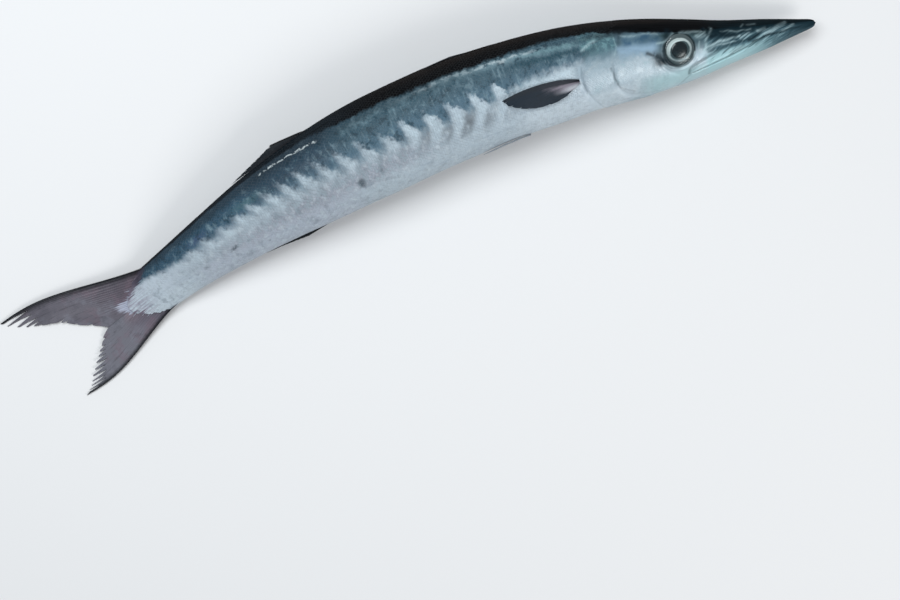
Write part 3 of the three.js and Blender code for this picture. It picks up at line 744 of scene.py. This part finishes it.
def skin_material(name, scaled):
    material, tree, shader = new_material(name)
    shade, rim, _ = attribute(tree, "scale")
    paint, silver, coarse, fine = fish_paint(tree, shade)
    if scaled:
        # Each scale's edge is painted a little lighter as a painted highlight; its middle is a little darker, and
        # each scale is darker by its own random amount.
        paint.over("eef4f7", rim.rise(0.6, 1.0) * (silver * 0.1 + 0.03),
                   "0c1216", rim.fall(0.0, 0.6) * 0.06 + shade.rise(0, 1) * (silver * 0.06 + 0.03))
    fill(shader, {"Base Color": paint.colour, "Metallic": silver * 0.15 + 0.02, "Coat Weight": silver * 0.3 + 0.03,
                  "Roughness": (coarse - 0.5) * 0.3 + 0.45 + (fine - 0.5) * 0.2, "Coat Roughness": 0.15,
                  "Specular IOR Level": 0.0})
    add_bump(shader, noise(tree, scale=900) * 0.5 + fine * 0.5, 0.0003 if scaled else 0.0006, 0.5)
    return material


skin_look = skin_material("wet_skin", False)
scale_look = skin_material("wet_scales", True)

# The skin

AROUND = 224
HEAD_RINGS = np.arange(0.0, 206.0, 0.68)
BODY_RINGS = np.linspace(206.3, STALK_START, 100)
STALK_RINGS = np.linspace(0, 1, 14)[1:]
SUNKEN_RINGS = 6
UV_LENGTH = 660  # The distance behind the snout at the map's far edge


def bake_place(u, turn):
    """The place on the map OFBake."""
    return np.stack([u / UV_LENGTH, turn * 0.98 + 0.01], -1)


def skin_vectors(u, angle, scale):
    """What the paint is worked out from, at each point."""
    mark = marks(u, angle)
    return {"fish": np.stack([u, from_back(angle), 0 * u], -1), "mark": mark[..., :3],
            "tint": mark[..., 3:] * [1, 0, 0], "scale": scale}


def build_skin():
    turns = np.arange(AROUND) / AROUND
    rings = np.concatenate([HEAD_RINGS, BODY_RINGS])
    last = np.full(AROUND, float(BODY_LENGTH))
    reach = np.clip(stalk_reach(on_body(last, angle_at(last, turns))[:, 1]), STALK_START + 1, STALK_END - 1.5)
    ends = STALK_START + (reach - STALK_START) * STALK_RINGS[:, None]
    u = np.concatenate([np.repeat(rings[:, None], AROUND, 1), ends])
    turn = np.tile(turns, (len(u), 1))
    angle = angle_at(u, turn)
    lift = skin_lift(u, angle)
    lift[-SUNKEN_RINGS:] -= np.linspace(0.1, 1.4, SUNKEN_RINGS)[:, None]
    points = surface(u, angle, lift)
    points = np.concatenate([points.reshape(-1, 3), [points[0].mean(0), points[-1].mean(0)]])
    grid, after, quads = tube(len(u), AROUND)
    front = np.stack([np.full(AROUND, grid.size), after[0], grid[0]], 1)
    rear = np.stack([np.full(AROUND, grid.size + 1), grid[-1], after[-1]], 1)
    corners = np.concatenate([quads.ravel(), front.ravel(), rear.ravel()])
    u, angle = np.append(u, [0, STALK_END]), np.append(angle, [0, 0])
    around = np.append(turn, [0.5, 0.5])[corners]
    seam = np.concatenate([np.tile([False, True, True, False], len(quads)),
                           np.tile([False, True, False], AROUND), np.tile([False, False, True], AROUND)])
    uvs = bake_place(u[corners], np.where(seam & (around == 0), 1.0, around))
    vectors = skin_vectors(u, angle, np.tile([0.0, 0.5, 0.0], (len(points), 1)))
    return new_mesh("skin", points, quads, np.concatenate([front, rear]), vectors, uvs)


finish_piece(build_skin(), skin_look, "skin", "head", "lower_jaw", "gill_cover_right", "gill_cover_left",
             "trunk_front", "trunk_middle", "trunk_rear", "tail_stalk")

# Scales: thin plates that overlap backwards, each one closed

# The outline of a scale: its share of the length behind its middle, and of the width from its middle
OUTLINE = np.array([(-0.42, 0), (-0.3, 0.34), (0.02, 0.54), (0.32, 0.53), (0.55, 0.34), (0.66, 0.0),
                    (0.55, -0.34), (0.32, -0.53), (0.02, -0.54), (-0.3, -0.34)])
INNER = OUTLINE * 0.74 + [(0.03, 0)]
THICKNESS = 0.12
LENGTH, BREADTH, COLUMN_STEP = 1.456, 1.1, 0.56  # Shares of the spacing round the body
FRONT_HEIGHT = 0.12  # The share of the rear edge's height that a scale's front edge has
HIGHEST = 0.9
PATCH = 0.0022  # A scale's size on the map
SCALES_A_PIECE = 3300


def scale_plates(centre_u, turn, length, breadth, high, tilt):
    """Points of many scales, faces of one, vectors and UVs. Sizes are in mm, and high is the rear edge's height."""
    count, edge = len(centre_u), len(OUTLINE)
    local = np.concatenate([OUTLINE, INNER, [(0.08, 0)], OUTLINE])
    kinds = np.concatenate([np.ones(edge), np.full(edge, 0.45), [0.0], np.ones(edge)])
    x = local[None, :, 0] * length[:, None]
    y = local[None, :, 1] * breadth[:, None]
    u = centre_u[:, None] + x
    angle = angle_at(u, turn[:, None] + y / girth(u))
    share = (local[None, :, 0] - OUTLINE[0, 0]) / np.ptp(OUTLINE[:, 0])
    slope = high[:, None] * (FRONT_HEIGHT + (1 - FRONT_HEIGHT) * share)
    crown = np.concatenate([np.zeros(edge), np.full(edge, 0.05), [0.075], np.full(edge, -THICKNESS)])[None, :]
    height = slope + crown * high[:, None] / 0.34 + tilt[:, 0:1] * x + tilt[:, 1:2] * y
    base = skin_lift(centre_u, angle_at(centre_u, turn))[:, None]
    points = surface(u, angle, np.minimum(0.6 * skin_lift(u, angle) + 0.4 * base + height, HIGHEST))
    ring = np.arange(edge)
    after = np.roll(ring, -1)
    low = 2 * edge + 1
    rim = np.stack([ring, after, after + low, ring + low], 1)
    upper = np.stack([ring + edge, after + edge, after, ring], 1)
    middle_faces = np.stack([np.full(edge, 2 * edge), after + edge, ring + edge], 1)
    under = low + np.array([(0, 9, 1), (1, 9, 8), (1, 8, 2), (2, 8, 7), (2, 7, 3), (3, 7, 6), (3, 6, 4), (4, 6, 5)])
    shade = np.repeat(chance.uniform(-1, 1, count)[:, None], len(local), 1)
    vectors = skin_vectors(u, angle, np.stack([shade, np.repeat(kinds[None], count, 0), 0 * shade], -1))
    uvs = bake_place(centre_u, np.mod(turn, 1))[:, None] + local * PATCH
    return points, np.concatenate([rim, upper]), np.concatenate([middle_faces, under[:, ::-1]]), vectors, uvs


def staggered(u, column, rows):
    """Places round the body, in every other column half a row further on."""
    return np.stack([np.full(rows, u), (np.arange(rows) + 0.5 * (column % 2)) / rows], 1)


# Rows of body scales: the number round the body from each distance on
ROWS = [(150, 430, 72), (430, 530, 56), (530, 626, 42)]


def body_scales():
    places = []
    for start, end, rows in ROWS:
        u, column = float(start), 0
        while u < end:
            spacing = float(girth(u)) / rows
            places.append(np.insert(staggered(u, column, rows), 2, spacing, axis=1))
            u += COLUMN_STEP * spacing
            column += 1
    u, turn, spacing = np.concatenate(places).T
    angle = angle_at(u, turn)
    kept = (u > SCALES_FROM(from_back(angle)) + 0.6) & (u < stalk_reach(on_body(u, angle)[:, 1]) - 1)
    return u[kept], turn[kept], spacing[kept]


def add_scales(name, u, turn, spacing, high, looseness):
    """Makes the scales at these places, in pieces of less than 200,000 triangles."""
    count = len(u)
    size = chance.uniform(0.94, 1.08, count)
    tilt = chance.normal(0, looseness, (count, 2))
    places = u + chance.normal(0, 0.08, count)
    made = scale_plates(places, turn, LENGTH * spacing * size, BREADTH * spacing * size, high, tilt)
    points, quads, triangles, vectors, uvs = made
    for part in range(math.ceil(count / SCALES_A_PIECE)):
        span = slice(part * SCALES_A_PIECE, (part + 1) * SCALES_A_PIECE)
        own = points[span]
        first = (np.arange(len(own)) * own.shape[1])[:, None, None]
        own_quads, own_triangles = quads + first, triangles + first
        corners = np.concatenate([own_quads.ravel(), own_triangles.ravel()])
        own_vectors = {key: values[span] for key, values in vectors.items()}
        own_uvs = uvs[span].reshape(-1, 2)[corners]
        piece = new_mesh(f"{name}_{part + 1}", own, own_quads, own_triangles, own_vectors, own_uvs)
        finish_piece(piece, scale_look, "skin")


scale_u, scale_turn, scale_spacing = body_scales()
add_scales("scales_body", scale_u, scale_turn, scale_spacing, np.clip(0.065 * scale_spacing, 0.12, 0.2), 0.01)


def head_scales():
    """Fine, low scales on the cheeks and gill covers."""
    u, turn = np.concatenate([staggered(u, column, 96) for column, u in enumerate(np.arange(134, 204, 1.15))]).T
    s = side_length(u, angle_at(u, turn))
    kept = (depth_inside(cheek, u, s) > 1.3) | (depth_inside(gill_cover, u, s) > 1.6)
    return u[kept], turn[kept]


fine_u, fine_turn = head_scales()
add_scales("scales_head", fine_u, fine_turn, np.full(len(fine_u), 2.1), np.full(len(fine_u), 0.09), 0.008)


# Fins: thin vanes with raised, branching rays and frayed edges. In their functions s runs from the root to the
# edge, and v across the rays from the leading one to the last.

COLUMNS_A_RAY = 10
WEB, EDGE = 0.32, 0.24  # Thicknesses in mm
LOWEST = 0.00005  # In metres over the floor


def frayed(seed, slits, uneven):
    """How much of the length is missing along a fin's edge: an uneven edge with narrow slits at [v, length]."""
    own = np.random.default_rng(seed)
    waves = [(own.uniform(0, 6.3), own.uniform(14, 60)) for _ in range(5)]

    def at(v):
        lost = sum(uneven * (0.5 + 0.5 * np.sin(v * rate + phase)) / 5 for phase, rate in waves) * step(v, 0, 0.06)
        for place, length in slits:
            wide = 0.012 + 0.12 * length
            lost = np.maximum(lost, length * np.clip(1 - np.abs(v - place) / wide, 0, 1) ** 0.8)
        return lost

    return at


def few_slits(seed, count, longest):
    lengths = np.random.default_rng(seed).uniform(0.3, 1, count) * longest
    return list(zip(np.linspace(0.1, 0.93, count), lengths))


def curves(stations):
    """Two smooth curves, from stations with two values each."""
    return [smooth([(station[0], station[i]) for station in stations]) for i in (1, 2)]


def tail_lobe(side, tips, bow):
    """The middle surface of a lobe: its tips say how far each ray reaches behind the body, and its height there."""
    tip_u, tip_h = curves(tips)

    def centre(s, v):
        root_h = side * (21.0 - 20.95 * v)
        root_u = stalk_reach(root_h) - 1
        far_u, far_h = BODY_LENGTH + tip_u(v), tip_h(v)
        swell = bow * side * (1 - v) * np.sin(math.pi * np.clip(s, 0, 1) ** 1.6)
        ripple = 0.8 * np.sin(v * 9 + s * 3) * s ** 2
        return np.stack([-(root_u + (far_u - root_u) * s), root_h + (far_h - root_h) * s + swell, ripple], -1)

    return centre


def sideways(s, v):
    return np.broadcast_to([0.0, 0.0, 1.0], s.shape + (3,))


def folded_fin(side, start, end, lengths, fold, ridge, loose):
    """The middle surface of a fin that lies folded along the back or the belly. Fold gives its slopes in degrees."""
    ray_length = smooth([(0, lengths[0]), (0.6, lengths[1]), (1, lengths[2])])

    def centre(s, v):
        slope = np.radians(fold[0] + (fold[1] - fold[0]) * v)
        reach = ray_length(v) * s
        u = start + (end - start) * v + reach * np.cos(slope)
        rise = reach * np.sin(slope) + ridge * np.minimum(1, np.maximum(0, reach) / 8) - 0.7 + loose * s - 1.3 * v * s
        sway = 0.5 * np.sin(v * 7) * s
        return np.stack([-u, middle(u) + side * (depth(u) / 2 + rise), sway], -1)

    return centre


def lying_fin(u, root, tips, bow, sweep, lift, side):
    """The middle surface and the thickness's way of a paired fin that lies against the body."""
    tip_u, tip_degrees = curves(tips)

    def place(s, v):
        start = root[0] + (root[1] - root[0]) * v
        degrees = start + (tip_degrees(v) - start + sweep) * s + bow * (1 - v) * 4 * s * (1 - s)
        return u + (tip_u(v) - u) * s, np.radians(degrees)

    def centre(s, v):
        here, angle = place(s, v)
        points = on_body(here, angle) + facing(here, angle) * (0.6 + lift * s * s)[..., None]
        return points * [1, 1, side]

    def across(s, v):
        return facing(*place(s, v)) * [1, 1, side]

    return centre, across


def fin_material(name, base, far, edge, glow, glow_of_rays=0.05, patchy=0.0, wedge=(0.9, 0.3), reach=0.0,
                 dark_root=0.0):
    """A fin's look: base and far colours from root to edge, a dark leading edge, and rays lighter than the web."""
    material, tree, shader = new_material(name)
    s, v, ridge = attribute(tree, "fin")
    coarse, fine = noise(tree, scale=90), noise(tree, scale=420)
    mottle = noise(tree, scale=48, detail=4, roughness=0.65)
    along = noise(tree, s * 4, v * 26, 5.0)
    joints = ((s * 60 + (coarse - 0.5) * 2).fract() - 0.5).abs()
    spread = s + (coarse - 0.5) * 0.4 + (along - 0.5) * dark_root
    wedge_end = v.peak(*wedge) * reach + 0.02
    streaks = (s + (0.5 - along) * 0.5).fall(wedge_end * 0.4, wedge_end)
    paint = Paint(base)
    paint.over(
        glow, v.rise(0.4, 0.9) * (s + (coarse - 0.5) * 0.3).fall(0.1, 0.45) * 0.7,
        far, spread.rise(0.08 + dark_root * 0.5, 0.5 + dark_root * 0.4),
        glow, (v + (along - 0.5) * 0.5).rise(0.5, 0.85) * s.fall(0.3, 0.62) * (dark_root * 2.7),
        "7b7880", ridge.rise(0.4, 1.0) * (glow_of_rays + fine * 0.1),
        "1d1d22", joints.rise(0.36, 0.5) * ridge.rise(0.3, 0.9) * 0.12,
        "767883", coarse.rise(0.5, 0.66) * s.rise(0.1, 0.3) * v.rise(0.1, 0.3) * patchy,
        "6e5f6a", mottle.rise(0.5, 0.64) * patchy * 0.9, "42434b", mottle.fall(0.34, 0.46) * patchy * 0.7,
        edge, (v + (s - 1) * dark_root + (fine - 0.5) * 0.06).fall(0.02, 0.16) * 0.92,
        "101216", coarse.rise(0.58, 0.78) * 0.3 + along.rise(0.54, 0.72) * 0.35,
        "a2a8b8", streaks * v.rise(0.3, 0.5) * min(1, reach * 8))
    fill(shader, {"Base Color": paint.colour, "Roughness": (coarse - 0.5) * 0.3 + 0.42, "Coat Weight": 0.1,
                  "Coat Roughness": 0.2, "Specular IOR Level": 0.1})
    add_bump(shader, fine * 0.6 + joints * 0.4, 0.0005, 0.6)
    return material


upper_look = fin_material("tail_fin_upper_skin", "555059", "5f5d66", "14181c", "6a6472", 0.08, 0.5, (0.88, 0.34),
                          0.34)
lower_look = fin_material("tail_fin_lower_skin", "625e69", "6a6b74", "14181c", "80767f", 0.08, 0.5, (1, 0.3), 0.14)
dark_fin_look = fin_material("dark_fin_skin", "15181c", "20262c", "0f1114", "2a2c32")
pectoral_look = fin_material("pectoral_fin_skin", "7d7883", "1b2630", "1f262d", "b3b8c0", dark_root=0.3)
pelvic_look = fin_material("pelvic_fin_skin", "a4afb8", "8c97a2", "7d8790", "b5bfc6", 0.1)


def add_fin(name, centre, across, rays, rows, thick, fray, material, start=0.0, plain=lambda s, v: 0.0):
    """Makes a fin from its middle surface, and the way of its thickness from that."""
    columns = rays * COLUMNS_A_RAY
    v = np.linspace(0, 1, columns + 1)
    s = start + (1 - start) * (np.linspace(0, 1, rows + 1)[:, None] * (1 - fray(v)))
    v = np.tile(v, (rows + 1, 1))
    turn = v * rays * 2 * math.pi
    split = step(s, 0.3, 0.55)
    ridge = (1 - split) * (0.5 + 0.5 * np.cos(turn)) ** 2 + split * (0.5 + 0.5 * np.cos(2 * turn)) ** 1.5 * 0.7
    half = (WEB + plain(s, v) + thick(s, v) * ridge * (1 - 0.6 * np.clip(s, 0, 1))) / 2
    half[-1] = EDGE / 2
    out = across(s, v) * half[..., None]
    points = to_world(np.stack([centre(s, v) + out, centre(s, v) - out]))
    points[..., 2] = np.maximum(points[..., 2], LOWEST)
    grid = np.arange(s.size).reshape(s.shape)
    face = np.stack([grid[:-1, :-1], grid[:-1, 1:], grid[1:, 1:], grid[1:, :-1]], -1).reshape(-1, 4)
    edge = np.concatenate([grid[0, :], grid[1:, -1], grid[-1, -2::-1], grid[-2:0:-1, 0]])
    after = np.roll(edge, -1)
    wall = np.stack([after, edge, edge + s.size, after + s.size], 1)
    quads = np.concatenate([face, face[:, ::-1] + s.size, wall])
    vector = np.stack([np.clip(s, 0, 1), v, ridge], -1)
    finish_piece(new_mesh(name + "_rays", points, quads, (), {"fin": [vector, vector]}), material, "fin", name)


UPPER_TIPS = [(0, 118, 60), (0.1, 116.5, 55), (0.2, 110.5, 48), (0.35, 98.5, 40.5), (0.5, 87, 33.5),
              (0.65, 75.5, 25.5), (0.8, 69, 17), (0.9, 60, 9.5), (1, 51, 0.4)]
LOWER_TIPS = [(0, 104.5, -32), (0.2, 97, -28), (0.4, 88, -21), (0.6, 76, -13.5), (0.8, 67, -8), (0.92, 60, -3),
              (1, 52, 0.2)]


def tail_thickness(s, v):
    return 0.6 + 0.6 * np.exp(-np.clip(s, 0, 1) * 6) + 1.0 * np.exp(-v * 14)


def stalk_thickness(s, v):
    """The plain thickness that the rays share near the stalk."""
    return 3.6 * np.exp(-(np.clip(s + 0.02, 0, 1) * 11) ** 1.4)


UPPER_SLITS = [(0.07, 0.2), (0.15, 0.19), (0.235, 0.17), (0.315, 0.11), (0.4, 0.04), (0.5, 0.03), (0.57, 0.1),
               (0.63, 0.07), (0.76, 0.05), (0.88, 0.06)]
LOWER_SLITS = [(0.08, 0.12), (0.15, 0.18), (0.23, 0.17), (0.31, 0.19), (0.4, 0.18), (0.49, 0.2), (0.58, 0.16),
               (0.67, 0.15), (0.77, 0.13), (0.88, 0.09)]
for name, side, tips, bow, rays, rows, seed, slits, look in (
        ("tail_fin_upper", 1, UPPER_TIPS, 6.5, 17, 80, 3, UPPER_SLITS, upper_look),
        ("tail_fin_lower", -1, LOWER_TIPS, 6, 15, 70, 5, LOWER_SLITS, lower_look)):
    add_fin(name, tail_lobe(side, tips, bow), sideways, rays, rows, tail_thickness, frayed(seed, slits, 0.03), look,
            start=-0.1, plain=stalk_thickness)


def root_thick(s, v):
    return 0.5 + 0.5 * np.exp(-s * 8)


for name, shape, rays, rows, seed, slits, longest, uneven in (
        ("dorsal_fin_first", (1, 268, 311, (30, 22, 12), (2.4, 2.4), 0.5, 0.2), 5, 24, 7, 4, 0.1, 0.03),
        ("dorsal_fin_second", (1, 418, 464, (33, 30, 30), (11, 3.5), 0.6, 0.9), 12, 34, 9, 8, 0.12, 0.04),
        ("anal_fin", (-1, 434, 478, (31, 27, 26), (5, 2.5), 0.5, 0.9), 12, 34, 11, 8, 0.12, 0.04)):
    fray = frayed(seed, few_slits(seed, slits, longest), uneven)
    add_fin(name, folded_fin(*shape), sideways, rays, rows, lambda s, v: 0.7, fray, dark_fin_look)

PECTORAL_TIPS = [(0, 272, 2), (0.15, 270, -2), (0.3, 264, -8), (0.5, 254, -14), (0.7, 243, -17.5),
                 (0.85, 232, -18), (1, 221, -14.5)]
PELVIC_TIPS = [(0, 299, -67), (0.4, 290, -74), (0.75, 278, -79), (1, 270, -80)]
for side, name, sweep, lift in ((1, "right", 0, 2.2), (-1, "left", -24, 0.2)):
    pectoral = lying_fin(207.5, (-0.5, -5.5), PECTORAL_TIPS, 4.5, sweep, lift, side)
    pelvic = lying_fin(255, (-69, -74), PELVIC_TIPS, 1, 0, 0.8, side)
    add_fin(f"pectoral_fin_{name}", *pectoral, 13, 44, root_thick, frayed(13, few_slits(13, 7, 0.05), 0.02),
            pectoral_look)
    add_fin(f"pelvic_fin_{name}", *pelvic, 6, 26, root_thick, frayed(17, few_slits(17, 3, 0.08), 0.03), pelvic_look)

# Eyes

PUPIL, IRIS, BALL, FILM = 6.4, 10.9, 12.6, 12.2  # Radii in mm
LOWEST_EYE = 0.0002


def eye_height(radius):
    """The eyeball's height over the skin: a domed pupil, a sloping iris and a sunken rim."""
    lens = 0.75 + 1.15 * np.sqrt(np.clip(1 - (radius / (PUPIL + 0.2)) ** 2, 0, 1))
    slope = np.maximum(0, (radius - PUPIL) / (IRIS - PUPIL)) ** 1.5
    iris = 0.72 - 0.5 * slope + 0.14 * hump(radius - PUPIL - 0.5, 0.4)
    rim = 0.35 - 0.5 * np.maximum(0, radius - IRIS) ** 1.3
    return np.where(radius < PUPIL, lens, np.where(radius < IRIS, iris, rim))


def disc(side, radii, height, count=72):
    """A round shell at the eye's place, with its own flat coordinates: points, quads, triangles and vectors."""
    normal, place = facing(EYE_U, EYE_ANGLE)[0], on_body(EYE_U, EYE_ANGLE)[0]
    forward = np.array([1.0, 0, 0])
    up = np.cross(normal, forward)
    up = up * np.sign(up[1])
    turn = np.arange(count) / count * 2 * math.pi
    r = np.repeat(radii[:, None], count, 1)
    local = np.append(np.stack([r * np.cos(turn), r * np.sin(turn), r], -1).reshape(-1, 3), [[0, 0, 0]], axis=0)
    x, y, r = local.T[..., None]
    points = to_world((place + x * forward + y * up + height(r) * normal) * [1, 1, side])
    points[:, 2] = np.maximum(points[:, 2], LOWEST_EYE)
    grid, after, quads = tube(len(radii), count)
    fan = np.stack([np.full(count, grid.size), grid[0], after[0]], 1)
    if side > 0:
        return points, quads[:, [1, 2, 3, 0]], fan[:, ::-1], local
    return points, quads[:, [0, 3, 2, 1]], fan, local


def eye_material():
    material, tree, shader = new_material("eye_ball")
    x, y, radius = attribute(tree, "eye")
    grain = noise(tree, scale=700)
    # The eye is painted paler towards its top and rear: painted light falling from above.
    light = (y * 0.9 - x * 0.15 + (grain - 0.5) * 8).rise(-9, 8)
    oval = (x * x + y * y * 1.25).math("SQRT") + (grain - 0.5)
    wide = (y * 0.8 - x * 0.6).rise(0.0, 8.0, 0.0, 1.9)
    paint = Paint("77858a")
    paint.over(
        "d3dddd", light * 0.85, "20353a", (oval + wide).fall(8.3, 9.2) * 0.95, "2b3a3e", oval.rise(10.0, 10.9) * 0.92,
        # The pupil's lower rear is painted a little lighter: a painted reflection.
        "08141a", radius.fall(6.3, 7.0), "15282e", (y + x * 0.4).fall(-5.0, 0.0) * radius.fall(5.3, 6.3) * 0.6)
    fill(shader, {"Base Color": paint.colour, "Metallic": (oval - 9.6).abs().rise(0.7, 1.4, 0.3, 0.0),
                  "Roughness": 0.22, "Coat Weight": 0.15, "Coat Roughness": 0.05})
    add_bump(shader, grain, 0.0003, 0.35)
    return material


def cornea_material():
    """A clear, glossy film: see-through straight on, and glossier towards its edge."""
    material, tree, _ = new_material("eye_film")
    tree.nodes.clear()
    clear = add_node(tree, "BsdfTransparent", {"Color": (0.93, 0.96, 0.96, 1)})
    gloss = add_node(tree, "BsdfGlossy", {"Roughness": 0.03})
    amount = Field(add_node(tree, "Fresnel", {"IOR": 1.3})[0]) * 0.42
    add_node(tree, "OutputMaterial", add_node(tree, "MixShader", (amount, clear[0], gloss[0])))
    return material


def cornea_height(radius):
    return 0.2 + 2.05 * np.sqrt(np.clip(1 - (radius / FILM) ** 2, 0, 1))


ball_look, film_look = eye_material(), cornea_material()
ball_radii = np.concatenate([np.linspace(0.5, PUPIL, 14), np.linspace(PUPIL + 0.15, IRIS, 14),
                             np.linspace(IRIS + 0.2, BALL, 5)])
film_radii = np.linspace(0.6, FILM - 0.1, 16)
for side, name in ((1, "right"), (-1, "left")):
    points, quads, fan, vector = disc(side, ball_radii, eye_height)
    ball = new_mesh(f"eyeball_{name}", points, quads, fan, {"eye": vector})
    finish_piece(ball, ball_look, "eye", f"eye_{name}")
    points, quads, fan, _ = disc(side, film_radii, cornea_height)
    film = new_mesh(f"eye_film_{name}", points, quads, fan)
    finish_piece(film, film_look, "eye")

# Floor, light and camera

floor = new_mesh("floor", [(-6, -6, 0), (6, -6, 0), (6, 6, 0), (-6, 6, 0)], [(0, 1, 2, 3)])
floor_look, _, floor_shader = new_material("pale_floor")
fill(floor_shader, {"Base Color": (0.72, 0.73, 0.74, 1), "Roughness": 0.7})
floor.data.materials.append(floor_look)


def add_light(name, place, size, power, colour):
    light = bpy.data.lights.new(name, "AREA")
    light.shape = "RECTANGLE"
    light.size, light.size_y = size
    light.energy = power
    light.color = colour
    lamp = add_object(name, light)
    lamp.location = place
    lamp.rotation_euler = (-Vector(place)).to_track_quat("-Z", "Y").to_euler()


add_light("sky_light", (-0.3, 0.9, 1.8), (1.6, 1.0), 36, (0.95, 0.98, 1))
add_light("side_light", (0.9, -1.2, 1.4), (0.9, 0.9), 16, (1, 0.98, 0.96))
world = bpy.data.worlds.new("studio")
world.use_nodes = True
fill(world.node_tree.nodes["Background"], ((0.93, 0.96, 1, 1), 0.32))
bpy.context.scene.world = world
bpy.context.scene.view_settings.view_transform = "Standard"

# The camera looks down on the fish a little from the side of its back
CAMERA_PLACE = (0.00048, 0.1598, 1.32031)
CAMERA_TURN = Vector((-0.20251, -0.03495, -0.352))
camera_data = bpy.data.cameras.new("camera")
camera_data.sensor_width = 36
camera_data.lens = 63.36
camera = add_object("camera", camera_data)
turned = Matrix.Rotation(CAMERA_TURN.length, 4, CAMERA_TURN.normalized())
camera.matrix_world = Matrix.Translation(CAMERA_PLACE) @ turned
bpy.context.scene.camera = camera

bpy.context.view_layer.update()
